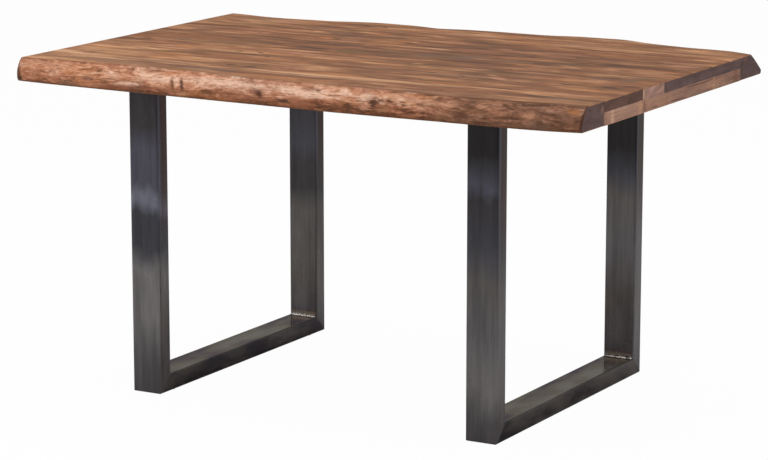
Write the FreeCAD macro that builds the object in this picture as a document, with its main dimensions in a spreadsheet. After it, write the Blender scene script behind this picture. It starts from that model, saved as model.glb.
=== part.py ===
import FreeCAD, Part
import Sketcher
import os
from math import pi
from FreeCAD import Rotation, Vector

# A live edge dining table: a top of edge-glued boards between two waney-edged boards, doubled up
# at the ends and over the legs, and bolted to two welded frames of rectangular steel tube.
# Millimetres. +X runs along the table, +Y to its back, +Z up; the origin is on the floor,
# under the middle of the table.

SIZES = {
    # The top
    "top_length": (1408, "length of the top, along X"),
    "table_height": (760, "floor to the top face"),
    "edge_thickness": (52, "thickness seen at the edges"),
    "board_thickness": (24, "thickness of a panel board"),
    "front_seam": (-357, "Y of the seam between front live edge board and panel"),
    "end_arris": (1.5, "bevel along the top edge of each board end"),
    "bark_tuck": (6, "how far the foot of a live edge turns back under"),
    "bark_tuck_height": (9, "height of that turn above the underside"),
    "board_1_width": (95, "panel boards, from the front"),
    "board_2_width": (92, ""),
    "board_3_width": (109, ""),
    "board_4_width": (32, ""),
    "board_5_width": (151, ""),
    "board_6_width": (73, ""),
    "board_7_width": (90, ""),
    "board_8_width": (65, ""),
    "end_strip_width": (90, "doubling strips under the ends, along X"),
    "end_strip_front_length": (187, "length of the front one of the two strips, along Y"),
    "batten_margin": (35, "batten showing beside a mounting plate"),
    "batten_end_gap": (2, "room for the wood to move at each end of a batten"),
    # The steel frames
    "frame_spacing": (856, "between the frames' middles, along X"),
    "frame_depth": (724, "outside of front post to outside of back post, along Y"),
    "tube_width": (76, "tube side that faces front, along X"),
    "tube_depth": (40, "the tube's other side"),
    "tube_wall": (2.5, "wall of the tube"),
    "tube_corner": (4, "outer corner radius of the tube"),
    "plate_width": (120, "mounting plate, along X"),
    "plate_thickness": (6, "mounting plate"),
    "weld_leg": (5, "leg of each fillet weld"),
    "glide_diameter": (25, "glide under a floor rail"),
    "glide_thickness": (2, "the glide's disc, which holds the rail off the floor"),
    "glide_stem_diameter": (8, "stem pushed into the rail"),
    "glide_stem_length": (9, ""),
    "glide_margin": (6, "rail showing beside a glide"),
    "glide_end_distance": (62, "rail's end to the middle of a glide"),
    # Fasteners
    "fit_gap": (0.3, "diameter of a hole less that of what it holds"),
    "bolt_diameter": (8, "bolts that hold a plate to its batten"),
    "bolt_head_flats": (13, "across the flats of the hexagon head"),
    "bolt_head_height": (5.3, ""),
    "bolt_end_gap": (4, "thread left free at the end of an insert"),
    "bolt_edge_distance": (15, "plate's edge to the middle of a bolt"),
    "bolt_row_inset": (92, "inside of a post to the middle of the nearest bolt"),
    "bolt_slot_width": (9, ""),
    "bolt_slot_length": (20, "slots let the top swell and shrink across its grain"),
    "washer_diameter": (24, ""),
    "washer_thickness": (2, ""),
    "insert_diameter": (12, "threaded insert in a batten"),
    "insert_cover": (8, "batten left above the hole of an insert"),
    "insert_end_gap": (2, "space above an insert in its hole"),
    "screw_diameter": (5, "screws that hold a batten to the boards"),
    "screw_head_diameter": (10, ""),
    "screw_head_height": (3, ""),
    "screw_counterbore_depth": (4, ""),
    "screw_counterbore_room": (1, "counterbore's diameter less that of the head"),
    "screw_top_cover": (8, "board left above the hole of a screw"),
    "screw_tip_gap": (1, "space above a screw in its hole"),
    "screw_edge_distance": (15, "batten's side to the middle of a screw"),
}

# Width of each live edge board from its seam to its bark side, at even steps from the left end:
# at the top face, at half its thickness, and where it is widest, just above its underside.
EDGE_WAVES = {
    "front_top": [80, 71, 67, 81, 93, 97, 101, 93, 74],
    "front_middle": [98, 104, 108, 115, 121, 124, 121, 117, 99],
    "front_widest": [99, 111, 116, 122, 128, 131, 128, 127, 105],
    "back_top": [94, 88, 77, 77, 83, 89, 105, 117, 116, 111, 99, 110, 116,
                 118, 118, 122, 136, 139, 140, 119, 104, 94, 91, 86, 62],
    "back_middle": [116, 112, 108, 109, 113, 118, 125, 130, 131, 128, 125, 129, 132,
                    133, 133, 136, 139, 141, 141, 133, 125, 119, 113, 108, 101],
    "back_widest": [126, 124, 122, 123, 126, 130, 134, 137, 138, 137, 136, 137, 139,
                    140, 140, 141, 141, 142, 142, 139, 136, 132, 128, 126, 124],
}

BOARD_COUNT = sum(name.startswith("board_") and name.endswith("_width") for name in SIZES)
BOARD_WIDTHS = [f"sizes.board_{number}_width" for number in range(1, BOARD_COUNT + 1)]

# Lengths that several pieces share, as expressions of the sheet.
BATTEN_THICKNESS = "(sizes.edge_thickness - sizes.board_thickness)"
BATTEN_WIDTH = "(sizes.plate_width + 2 * sizes.batten_margin)"
UNDERSIDE = "(sizes.table_height - sizes.edge_thickness)"
BACK_SEAM = f"(sizes.front_seam + {' + '.join(BOARD_WIDTHS)})"
INSERT_DEPTH = f"({BATTEN_THICKNESS} - sizes.insert_cover)"
INSERT_LENGTH = f"({INSERT_DEPTH} - sizes.insert_end_gap)"
PILOT_DEPTH = "(sizes.board_thickness - sizes.screw_top_cover)"
POST_INSIDE = "(sizes.frame_depth / 2 - sizes.tube_depth)"

SIDES = {"left": -1, "right": 1}

doc = FreeCAD.newDocument("live_edge_dining_table")
pieces = []


# ---------------------------------------------------------------- the sheets

def add_sheet(name, rows):
    """A sheet with one row for each size: its alias, its value and what it is."""
    sheet = doc.addObject("Spreadsheet::Sheet", name)
    for row, (alias, value, note) in enumerate(rows, start=1):
        sheet.set(f"A{row}", alias)
        sheet.set(f"B{row}", str(value))
        sheet.set(f"C{row}", note)
        sheet.setAlias(f"B{row}", alias)
    return sheet


sizes = add_sheet("sizes", [(alias, value, note) for alias, (value, note) in SIZES.items()])
waves = add_sheet("edge_waves", [(f"{edge}_{step}", width, "width of the board here")
                                 for edge, widths in EDGE_WAVES.items()
                                 for step, width in enumerate(widths)])
doc.recompute()


def size_of(expression):
    """The number that an expression of the sheet has now."""
    return float(sizes.evalExpression(expression))


# ---------------------------------------------------------------- bodies and sketches

def place(piece, x="0", y="0", z="0", rotation=Rotation()):
    piece.Placement.Rotation = rotation
    for axis, expression in zip("xyz", (x, y, z)):
        piece.setExpression(f"Placement.Base.{axis}", expression)


def add_body(name):
    """An empty body for one piece, or for a group of equal pieces that share a node."""
    body = doc.addObject("PartDesign::Body", name)
    body.Label = name
    body.AllowCompound = True
    pieces.append(body)
    return body


def add_sketch(body, title, plane, height="0"):
    """A sketch on one of the body's origin planes, or parallel to it at a height."""
    sketch = body.newObject("Sketcher::SketchObject", f"{body.Name}_{title}")
    origin_plane = next(item for item in body.Origin.OriginFeatures if item.Role == plane)
    sketch.AttachmentSupport = [(origin_plane, "")]
    sketch.MapMode = "FlatFace"
    sketch.setExpression("AttachmentOffset.Base.z", height)
    return sketch


def bind(sketch, *constraint, to):
    """A dimension whose value follows an expression."""
    number = sketch.addConstraint(Sketcher.Constraint(*constraint, size_of(to)))
    sketch.setExpression(f"Constraints[{number}]", to)


def fix_point(sketch, geometry, point, x, y):
    """Holds one point of the sketch at (x, y) from the sketch's origin."""
    bind(sketch, "DistanceX", -1, 1, geometry, point, to=x)
    bind(sketch, "DistanceY", -1, 1, geometry, point, to=y)


def draw_polygon(sketch, corners):
    """A closed outline through corners that are given as pairs of expressions."""
    spots = [Vector(size_of(x), size_of(y), 0) for x, y in corners]
    lines = [sketch.addGeometry(Part.LineSegment(spot, spots[(index + 1) % len(spots)]), False)
             for index, spot in enumerate(spots)]
    for index, line in enumerate(lines):
        sketch.addConstraint(Sketcher.Constraint("Coincident", line, 2, lines[(index + 1) % len(lines)], 1))
        fix_point(sketch, line, 1, *corners[index])


def draw_rectangle(sketch, width, depth, x="0", y="0"):
    """A rectangle of width by depth with its middle at (x, y)."""
    west, east = f"{x} - {width} / 2", f"{x} + {width} / 2"
    south, north = f"{y} - {depth} / 2", f"{y} + {depth} / 2"
    draw_polygon(sketch, [(west, south), (east, south), (east, north), (west, north)])


def draw_circle(sketch, diameter, x="0", y="0"):
    circle = sketch.addGeometry(Part.Circle(Vector(size_of(x), size_of(y), 0), Vector(0, 0, 1),
                                            size_of(diameter) / 2), False)
    bind(sketch, "Diameter", circle, to=diameter)
    fix_point(sketch, circle, 3, x, y)


def draw_arc(sketch, x, y, radius, from_turns, to_turns):
    """An arc about (x, y), drawn anticlockwise between two directions in quarter turns."""
    circle = Part.Circle(Vector(x, y, 0), Vector(0, 0, 1), radius)
    return sketch.addGeometry(Part.ArcOfCircle(circle, from_turns * pi / 2, to_turns * pi / 2), False)


def draw_rounded_rectangle(sketch, width, depth, radius, y="0"):
    """A rectangle with round corners, its middle on the sketch's Y axis at y."""
    half_width, half_depth = size_of(width) / 2, size_of(depth) / 2
    middle, bend = size_of(y), size_of(radius)
    flat_x, flat_y = half_width - bend, half_depth - bend
    ring = []
    for quarter, (across, up) in enumerate([(1, 1), (-1, 1), (-1, -1), (1, -1)]):
        ring.append(draw_arc(sketch, across * flat_x, middle + up * flat_y, bend, quarter, quarter + 1))
        if quarter % 2 == 0:
            start = Vector(across * flat_x, middle + up * half_depth, 0)
            end = Vector(-across * flat_x, middle + up * half_depth, 0)
        else:
            start = Vector(across * half_width, middle + up * flat_y, 0)
            end = Vector(across * half_width, middle - up * flat_y, 0)
        ring.append(sketch.addGeometry(Part.LineSegment(start, end), False))
    for index, curve in enumerate(ring):
        sketch.addConstraint(Sketcher.Constraint("Tangent", curve, 2, ring[(index + 1) % len(ring)], 1))
    for corner in ring[2::2]:
        sketch.addConstraint(Sketcher.Constraint("Equal", ring[0], corner))
    for index, direction in ((1, "Horizontal"), (3, "Vertical"), (5, "Horizontal"), (7, "Vertical")):
        sketch.addConstraint(Sketcher.Constraint(direction, ring[index]))
    bind(sketch, "Radius", ring[0], to=radius)
    fix_point(sketch, ring[1], 1, f"{width} / 2 - {radius}", f"{y} + {depth} / 2")
    fix_point(sketch, ring[5], 1, f"-{width} / 2 + {radius}", f"{y} - {depth} / 2")


def draw_slot(sketch, width, length, x, y):
    """A slot with round ends, along the sketch's Y axis."""
    middle_x, middle_y = size_of(x), size_of(y)
    bend = size_of(width) / 2
    reach = size_of(length) / 2 - bend
    top = draw_arc(sketch, middle_x, middle_y + reach, bend, 0, 2)
    west = sketch.addGeometry(Part.LineSegment(Vector(middle_x - bend, middle_y + reach, 0),
                                               Vector(middle_x - bend, middle_y - reach, 0)), False)
    bottom = draw_arc(sketch, middle_x, middle_y - reach, bend, 2, 4)
    east = sketch.addGeometry(Part.LineSegment(Vector(middle_x + bend, middle_y - reach, 0),
                                               Vector(middle_x + bend, middle_y + reach, 0)), False)
    for curve, following in ((top, west), (west, bottom), (bottom, east), (east, top)):
        sketch.addConstraint(Sketcher.Constraint("Tangent", curve, 2, following, 1))
    sketch.addConstraint(Sketcher.Constraint("Equal", top, bottom))
    bind(sketch, "Radius", top, to=f"{width} / 2")
    fix_point(sketch, top, 3, x, f"{y} + ({length} - {width}) / 2")
    fix_point(sketch, bottom, 3, x, f"{y} - ({length} - {width}) / 2")


def pad(body, sketch, length, midplane=False):
    feature = body.newObject("PartDesign::Pad", f"{sketch.Name}_pad")
    feature.Profile = sketch
    feature.Midplane = midplane
    feature.setExpression("Length", length)
    return feature


def pocket(body, sketch, length, midplane=False):
    """Cuts upwards from the sketch, or to both sides of it."""
    feature = body.newObject("PartDesign::Pocket", f"{sketch.Name}_pocket")
    feature.Profile = sketch
    feature.Reversed = not midplane
    feature.Midplane = midplane
    feature.setExpression("Length", length)
    return feature


# ---------------------------------------------------------------- the wooden top

def board_start(index):
    """Y of the front side of a panel board."""
    return " + ".join(["sizes.front_seam"] + BOARD_WIDTHS[:index])


def screw_columns():
    """X of the screw rows over both frames, from the middle of the table."""
    offset = f"({BATTEN_WIDTH} / 2 - sizes.screw_edge_distance)"
    return [f"{side} * sizes.frame_spacing / 2 + {column} * {offset}"
            for side in SIDES.values() for column in (-1, 1)]


def panel_board(index):
    """A board across the whole table, bevelled at its ends, with blind holes for its screws."""
    body = add_body(f"panel_board_{index + 1}")
    profile = add_sketch(body, "profile", "XZ_Plane")
    end, top, arris = "sizes.top_length / 2", "sizes.board_thickness", "sizes.end_arris"
    draw_polygon(profile, [(f"-{end}", "0"), (end, "0"), (end, f"{top} - {arris}"),
                           (f"{end} - {arris}", top), (f"-{end} + {arris}", top),
                           (f"-{end}", f"{top} - {arris}")])
    pad(body, profile, BOARD_WIDTHS[index], midplane=True)
    holes = add_sketch(body, "screw_holes", "XY_Plane")
    for x in screw_columns():
        draw_circle(holes, "sizes.screw_diameter + sizes.fit_gap", x)
    pocket(body, holes, PILOT_DEPTH)
    place(body, y=f"{board_start(index)} + {BOARD_WIDTHS[index]} / 2",
          z="sizes.table_height - sizes.board_thickness")


def live_edge_board(side, seam, outward):
    """A full-thickness board with one straight side and one that follows the tree."""
    steps = len(EDGE_WAVES[f"{side}_top"])
    top, bottom = sizes.table_height, sizes.table_height - sizes.edge_thickness
    sections = []
    for step in range(steps):
        x = sizes.top_length * (step / (steps - 1) - 0.5)
        top_width = waves.get(f"{side}_top_{step}")
        full_width = waves.get(f"{side}_widest_{step}")
        middle_width = waves.get(f"{side}_middle_{step}")
        seam_bottom, seam_top = Vector(x, seam, bottom), Vector(x, seam, top)
        bark_bottom = Vector(x, seam + outward * (full_width - sizes.bark_tuck), bottom)
        bark_heel = Vector(x, seam + outward * (full_width - 0.3 * sizes.bark_tuck),
                           bottom + 0.4 * sizes.bark_tuck_height)
        bark_full = Vector(x, seam + outward * full_width, bottom + sizes.bark_tuck_height)
        bark_middle = Vector(x, seam + outward * middle_width, (top + bottom) / 2)
        bark_top = Vector(x, seam + outward * top_width, top)
        foot = Part.Arc(bark_bottom, bark_heel, bark_full)
        bark = Part.BSplineCurve()
        bark.interpolate([bark_full, bark_middle, bark_top])
        sections.append(Part.Wire([Part.makeLine(seam_bottom, bark_bottom), foot.toShape(),
                                   bark.toShape(), Part.makeLine(bark_top, seam_top),
                                   Part.makeLine(seam_top, seam_bottom)]))
    board = doc.addObject("Part::Feature", f"{side}_live_edge_board")
    board.Label = f"{side}_live_edge_board"
    board.Shape = Part.makeLoft(sections, True)
    pieces.append(board)


def end_strip(side, sign, end, start, length):
    """A strip glued across the grain under one end, which makes the end look full thickness."""
    strip = doc.addObject("Part::Box", f"{side}_end_strip_{end}")
    strip.Label = strip.Name
    strip.setExpression("Length", "sizes.end_strip_width")
    strip.setExpression("Width", length)
    strip.setExpression("Height", BATTEN_THICKNESS)
    outer = f"{sign} * sizes.top_length / 2"
    place(strip, x=outer if sign < 0 else f"{outer} - sizes.end_strip_width", y=start, z=UNDERSIDE)
    pieces.append(strip)


def bolt_places():
    """Bolt middles on one frame, as (x, y, slotted): only the middle row has round holes."""
    column = "(sizes.plate_width / 2 - sizes.bolt_edge_distance)"
    row = f"({POST_INSIDE} - sizes.bolt_row_inset)"
    return [(f"{across} * {column}", f"{along} * {row}", along != 0)
            for across in (-1, 1) for along in (-1, 0, 1)]


def screw_places():
    """Screw middles on one batten: two under each panel board."""
    column = f"({BATTEN_WIDTH} / 2 - sizes.screw_edge_distance)"
    return [(f"{across} * {column}", f"{board_start(index)} + {width} / 2")
            for across in (-1, 1) for index, width in enumerate(BOARD_WIDTHS)]


def cross_batten(side, sign):
    """A batten screwed under the boards over one frame, with holes for inserts and screws."""
    body = add_body(f"{side}_cross_batten")
    outline = add_sketch(body, "outline", "XY_Plane")
    draw_rectangle(outline, BATTEN_WIDTH, f"({BACK_SEAM} - sizes.front_seam - 2 * sizes.batten_end_gap)",
                   y=f"({BACK_SEAM} + sizes.front_seam) / 2")
    pad(body, outline, BATTEN_THICKNESS)
    insert_holes = add_sketch(body, "insert_holes", "XY_Plane")
    for x, y, slotted in bolt_places():
        draw_circle(insert_holes, "sizes.insert_diameter + sizes.fit_gap", x, y)
    pocket(body, insert_holes, INSERT_DEPTH)
    counterbores = add_sketch(body, "counterbores", "XY_Plane")
    screw_holes = add_sketch(body, "screw_holes", "XY_Plane")
    for x, y in screw_places():
        draw_circle(counterbores, "sizes.screw_head_diameter + sizes.screw_counterbore_room", x, y)
        draw_circle(screw_holes, "sizes.screw_diameter + sizes.fit_gap", x, y)
    pocket(body, counterbores, "sizes.screw_counterbore_depth")
    pocket(body, screw_holes, BATTEN_THICKNESS)
    place(body, x=f"{sign} * sizes.frame_spacing / 2", z=UNDERSIDE)


# ---------------------------------------------------------------- the steel frames

def draw_tube_section(sketch, y="0"):
    draw_rounded_rectangle(sketch, "sizes.tube_width", "sizes.tube_depth", "sizes.tube_corner", y)
    draw_rounded_rectangle(sketch, "(sizes.tube_width - 2 * sizes.tube_wall)",
                           "(sizes.tube_depth - 2 * sizes.tube_wall)",
                           "max(sizes.tube_corner - sizes.tube_wall; sizes.tube_wall / 5)", y)


def draw_mitre_offcut(sketch, outer, inward, low):
    """The triangle that a 45 degree cut takes off a tube. The cut line starts at the frame's outer
    bottom corner; a post loses what is below it and a rail what is above. The triangle is drawn
    one wall larger than the tube, so that it cuts clean through."""
    over = "sizes.tube_wall"
    inner = f"{outer} + {inward} * (sizes.tube_depth + {over})"
    start = f"{outer} - {inward} * {over}"
    bottom, top = f"-{over}", f"sizes.tube_depth + {over}"
    third = (inner, bottom) if low else (start, top)
    draw_polygon(sketch, [(start, bottom), (inner, top), third])


def post(side, sign, end, turn):
    """An upright tube, mitred at the foot and square under the mounting plate."""
    body = add_body(f"{side}_{end}_post")
    section = add_sketch(body, "section", "XY_Plane")
    draw_tube_section(section)
    pad(body, section, f"{UNDERSIDE} - sizes.plate_thickness - sizes.glide_thickness")
    mitre = add_sketch(body, "mitre", "YZ_Plane")
    draw_mitre_offcut(mitre, "-sizes.tube_depth / 2", 1, low=True)
    pocket(body, mitre, "2 * sizes.tube_width", midplane=True)
    outward = -1 if end == "front" else 1
    place(body, x=f"{sign} * sizes.frame_spacing / 2",
          y=f"{outward} * (sizes.frame_depth - sizes.tube_depth) / 2", z="sizes.glide_thickness",
          rotation=Rotation(Vector(0, 0, 1), turn))


def glide_places():
    """Glide middles under one rail."""
    column = "(sizes.tube_width / 2 - sizes.glide_margin - sizes.glide_diameter / 2)"
    row = "(sizes.frame_depth / 2 - sizes.glide_end_distance)"
    return [(f"{across} * {column}", f"{along} * {row}") for across in (-1, 1) for along in (-1, 1)]


def floor_rail(side, sign):
    """The tube along the floor, mitred at both ends and drilled below for its glides."""
    body = add_body(f"{side}_floor_rail")
    section = add_sketch(body, "section", "XZ_Plane")
    draw_tube_section(section, "sizes.tube_depth / 2")
    pad(body, section, "sizes.frame_depth", midplane=True)
    mitres = add_sketch(body, "mitres", "YZ_Plane")
    for inward in (1, -1):
        draw_mitre_offcut(mitres, f"{-inward} * sizes.frame_depth / 2", inward, low=False)
    pocket(body, mitres, "2 * sizes.tube_width", midplane=True)
    holes = add_sketch(body, "glide_holes", "XY_Plane")
    for x, y in glide_places():
        draw_circle(holes, "sizes.glide_stem_diameter + sizes.fit_gap", x, y)
    pocket(body, holes, "2 * sizes.tube_wall")
    place(body, x=f"{sign} * sizes.frame_spacing / 2", z="sizes.glide_thickness")


def mounting_plate(side, sign):
    """A flat bar across both posts, with round holes in the middle row and slots at the ends."""
    body = add_body(f"{side}_mounting_plate")
    outline = add_sketch(body, "outline", "XY_Plane")
    draw_rectangle(outline, "sizes.plate_width", "sizes.frame_depth")
    for x, y, slotted in bolt_places():
        if slotted:
            draw_slot(outline, "sizes.bolt_slot_width", "sizes.bolt_slot_length", x, y)
        else:
            draw_circle(outline, "sizes.bolt_slot_width", x, y)
    pad(body, outline, "sizes.plate_thickness")
    place(body, x=f"{sign} * sizes.frame_spacing / 2", z=f"{UNDERSIDE} - sizes.plate_thickness")


def weld_bead(name, length, across, up, x, y, z):
    """A quarter-round bead that fills the corner between two faces. It bulges towards across and
    up, and runs along the third axis from (x, y, z)."""
    bead = doc.addObject("Part::Cylinder", name)
    bead.Angle = 90
    bead.setExpression("Radius", "sizes.weld_leg")
    bead.setExpression("Height", length)
    place(bead, x, y, z, Rotation(across, up, across.cross(up), "ZXY"))
    return bead


def frame_welds(side, sign):
    """Fillet welds where each post meets the rail and the mounting plate."""
    middle = f"{sign} * sizes.frame_spacing / 2"
    flat_width = "(sizes.tube_width - 2 * sizes.tube_corner)"
    flat_depth = "(sizes.tube_depth - 2 * sizes.tube_corner)"
    rail_top = "sizes.glide_thickness + sizes.tube_depth"
    plate_bottom = f"{UNDERSIDE} - sizes.plate_thickness"
    to_back, to_front, to_right = Vector(0, 1, 0), Vector(0, -1, 0), Vector(1, 0, 0)
    to_left, upward, downward = Vector(-1, 0, 0), Vector(0, 0, 1), Vector(0, 0, -1)
    start_x = f"{middle} - {flat_width} / 2"
    name = f"{side}_weld"
    beads = [
        weld_bead(f"{name}_front_foot", flat_width, to_back, upward, start_x, f"-{POST_INSIDE}", rail_top),
        weld_bead(f"{name}_back_foot", flat_width, upward, to_front, start_x, POST_INSIDE, rail_top),
        weld_bead(f"{name}_front_head", flat_width, downward, to_back, start_x, f"-{POST_INSIDE}",
                  plate_bottom),
        weld_bead(f"{name}_back_head", flat_width, to_front, downward, start_x, POST_INSIDE, plate_bottom),
    ]
    for end, outward in (("front", -1), ("back", 1)):
        start_y = f"{outward} * ({POST_INSIDE} + sizes.tube_depth / 2) - {flat_depth} / 2"
        beads.append(weld_bead(f"{name}_{end}_right", flat_depth, to_right, downward,
                               f"{middle} + sizes.tube_width / 2", start_y, plate_bottom))
        beads.append(weld_bead(f"{name}_{end}_left", flat_depth, downward, to_left,
                               f"{middle} - sizes.tube_width / 2", start_y, plate_bottom))
    group = doc.addObject("Part::Compound", f"{side}_frame_welds")
    group.Label = group.Name
    group.Links = beads
    pieces.append(group)


def rail_glides(side, sign):
    """Push-in plastic glides: a disc on the floor and a stem in the rail."""
    body = add_body(f"{side}_rail_glides")
    discs = add_sketch(body, "discs", "XY_Plane")
    stems = add_sketch(body, "stems", "XY_Plane")
    for x, y in glide_places():
        draw_circle(discs, "sizes.glide_diameter", x, y)
        draw_circle(stems, "sizes.glide_stem_diameter", x, y)
    pad(body, discs, "sizes.glide_thickness")
    pad(body, stems, "sizes.glide_thickness + sizes.glide_stem_length")
    place(body, x=f"{sign} * sizes.frame_spacing / 2")


# ---------------------------------------------------------------- fasteners

def frame_bolts(side, sign):
    """Hexagon-head bolts, heads down, through washer and plate into the inserts."""
    body = add_body(f"{side}_frame_bolts")
    heads = add_sketch(body, "heads", "XY_Plane")
    shanks = add_sketch(body, "shanks", "XY_Plane", "sizes.bolt_head_height")
    half_flats = "sizes.bolt_head_flats / 2"
    half_side = f"{half_flats} * tan(30)"
    for x, y, slotted in bolt_places():
        draw_polygon(heads, [(f"{x} + {half_flats}", f"{y} - {half_side}"),
                             (f"{x} + {half_flats}", f"{y} + {half_side}"),
                             (x, f"{y} + 2 * {half_side}"),
                             (f"{x} - {half_flats}", f"{y} + {half_side}"),
                             (f"{x} - {half_flats}", f"{y} - {half_side}"),
                             (x, f"{y} - 2 * {half_side}")])
        draw_circle(shanks, "sizes.bolt_diameter", x, y)
    pad(body, heads, "sizes.bolt_head_height")
    pad(body, shanks, f"sizes.washer_thickness + sizes.plate_thickness + {INSERT_LENGTH}"
                      " - sizes.bolt_end_gap")
    place(body, x=f"{sign} * sizes.frame_spacing / 2",
          z=f"{UNDERSIDE} - sizes.plate_thickness - sizes.washer_thickness - sizes.bolt_head_height")


def ring_group(name, sign, outer, inner, height, z):
    """One ring around each bolt of a frame."""
    body = add_body(name)
    rings = add_sketch(body, "rings", "XY_Plane")
    for x, y, slotted in bolt_places():
        draw_circle(rings, outer, x, y)
        draw_circle(rings, inner, x, y)
    pad(body, rings, height)
    place(body, x=f"{sign} * sizes.frame_spacing / 2", z=z)


def frame_washers(side, sign):
    """Wide washers that cover the slots of the plate."""
    ring_group(f"{side}_frame_washers", sign, "sizes.washer_diameter",
               "sizes.bolt_diameter + sizes.fit_gap", "sizes.washer_thickness",
               f"{UNDERSIDE} - sizes.plate_thickness - sizes.washer_thickness")


def threaded_inserts(side, sign):
    """Steel sleeves set flush into the batten; the bolts end in them."""
    ring_group(f"{side}_threaded_inserts", sign, "sizes.insert_diameter",
               "sizes.bolt_diameter + sizes.fit_gap", INSERT_LENGTH, UNDERSIDE)


def batten_screws(side, sign):
    """Pan-head screws from the batten's counterbores up into each panel board."""
    body = add_body(f"{side}_batten_screws")
    heads = add_sketch(body, "heads", "XY_Plane")
    shanks = add_sketch(body, "shanks", "XY_Plane", "sizes.screw_head_height")
    for x, y in screw_places():
        draw_circle(heads, "sizes.screw_head_diameter", x, y)
        draw_circle(shanks, "sizes.screw_diameter", x, y)
    pad(body, heads, "sizes.screw_head_height")
    pad(body, shanks, f"{BATTEN_THICKNESS} + {PILOT_DEPTH} - sizes.screw_counterbore_depth"
                      " - sizes.screw_tip_gap")
    place(body, x=f"{sign} * sizes.frame_spacing / 2",
          z=f"{UNDERSIDE} + sizes.screw_counterbore_depth - sizes.screw_head_height")


# ---------------------------------------------------------------- the whole table

for number in range(BOARD_COUNT):
    panel_board(number)
live_edge_board("front", size_of("sizes.front_seam"), -1)
live_edge_board("back", size_of(BACK_SEAM), 1)

for side, sign in SIDES.items():
    strip_joint = "sizes.front_seam + sizes.end_strip_front_length"
    end_strip(side, sign, "front", "sizes.front_seam", "sizes.end_strip_front_length")
    end_strip(side, sign, "back", strip_joint, f"{BACK_SEAM} - ({strip_joint})")
    cross_batten(side, sign)
    post(side, sign, "front", 0)
    post(side, sign, "back", 180)
    floor_rail(side, sign)
    mounting_plate(side, sign)
    frame_welds(side, sign)
    rail_glides(side, sign)
    frame_bolts(side, sign)
    frame_washers(side, sign)
    threaded_inserts(side, sign)
    batten_screws(side, sign)

doc.recompute()

# ---------------------------------------------------------------- checks and export

for item in doc.Objects:
    if {"Invalid", "Error"} & set(item.State):
        raise RuntimeError(f"{item.Name} failed: {item.State}")
    if item.TypeId == "PartDesign::Pocket" and item.Shape.Volume >= item.BaseFeature.Shape.Volume:
        raise RuntimeError(f"{item.Name} cut nothing")

for piece in pieces:
    if piece.Shape.isNull() or not piece.Shape.isValid():
        raise RuntimeError(f"{piece.Label} has no valid shape")

os.makedirs("parts", exist_ok=True)
for piece in pieces:
    piece.Shape.exportStep(f"parts/{piece.Label}.step")
    box = piece.Shape.BoundBox
    print(f"{piece.Label:26s} {len(piece.Shape.Solids):3d} solids {piece.Shape.Volume / 1000:9.1f} cm3  "
          f"x {box.XMin:7.1f} {box.XMax:7.1f}  y {box.YMin:7.1f} {box.YMax:7.1f}  "
          f"z {box.ZMin:6.1f} {box.ZMax:6.1f}")
print(len(pieces), "nodes")
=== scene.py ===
# %% [markdown]
# # Live edge dining table
# The real table is a plank top that keeps the tree's wavy edge along both long sides, carried by two
# closed frames of rectangular steel tube. This lesson starts from the construction model, whose
# pieces already lie at their true place and size, and gives every visible surface its finish. Only
# the pieces whose surface is carved or lumpy, the two live edges and the welds, are built anew.

# %% The construction model
import math
from collections import namedtuple

import bpy
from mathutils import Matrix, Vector, noise
from mathutils.bvhtree import BVHTree


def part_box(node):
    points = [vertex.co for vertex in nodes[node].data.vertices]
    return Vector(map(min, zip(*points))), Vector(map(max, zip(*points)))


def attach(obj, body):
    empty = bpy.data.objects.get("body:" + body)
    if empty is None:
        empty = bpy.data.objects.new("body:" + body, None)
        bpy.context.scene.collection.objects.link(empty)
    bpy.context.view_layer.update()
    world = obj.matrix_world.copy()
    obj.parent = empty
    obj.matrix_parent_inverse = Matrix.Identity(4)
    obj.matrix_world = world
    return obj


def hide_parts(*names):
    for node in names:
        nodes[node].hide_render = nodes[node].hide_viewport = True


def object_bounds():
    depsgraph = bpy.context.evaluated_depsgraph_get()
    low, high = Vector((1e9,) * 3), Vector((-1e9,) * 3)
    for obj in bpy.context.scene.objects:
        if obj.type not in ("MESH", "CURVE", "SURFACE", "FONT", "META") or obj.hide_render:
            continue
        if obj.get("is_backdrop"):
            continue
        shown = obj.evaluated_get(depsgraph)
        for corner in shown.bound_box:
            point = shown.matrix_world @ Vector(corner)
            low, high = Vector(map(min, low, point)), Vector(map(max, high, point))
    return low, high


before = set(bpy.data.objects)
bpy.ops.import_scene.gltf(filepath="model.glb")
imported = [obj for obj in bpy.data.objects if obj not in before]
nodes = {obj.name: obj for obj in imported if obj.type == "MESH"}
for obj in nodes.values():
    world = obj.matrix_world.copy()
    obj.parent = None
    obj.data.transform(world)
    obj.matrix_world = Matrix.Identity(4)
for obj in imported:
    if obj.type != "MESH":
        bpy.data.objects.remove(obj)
drawn_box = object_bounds()
MM = 0.001
print("pieces loaded:", len(nodes))
print("size in mm:", [round(side / MM) for side in drawn_box[1] - drawn_box[0]])

# %% [markdown]
# ## Colours in a maker's words
# A finish is easier to read when its colours have names. Picture programs give a colour as three
# numbers up to 255, while Blender's nodes expect light amounts, so one helper turns the first into
# the second. The timber is an acacia: its heartwood runs from sand to near black in one board, its
# sapwood is pinkish, and a sawn end drinks more oil and turns greyer and darker, as dust, hazel, cocoa
# and plum are here.

# %% Named colours
def paint(red, green, blue):
    """Turns a colour given in steps up to 255 into Blender's linear red, green, blue and alpha."""
    steps = [step / 255 for step in (red, green, blue)]
    light = [(s / 12.92 if s <= 0.04045 else ((s + 0.055) / 1.055) ** 2.4) for s in steps]
    return (*light, 1.0)


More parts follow.
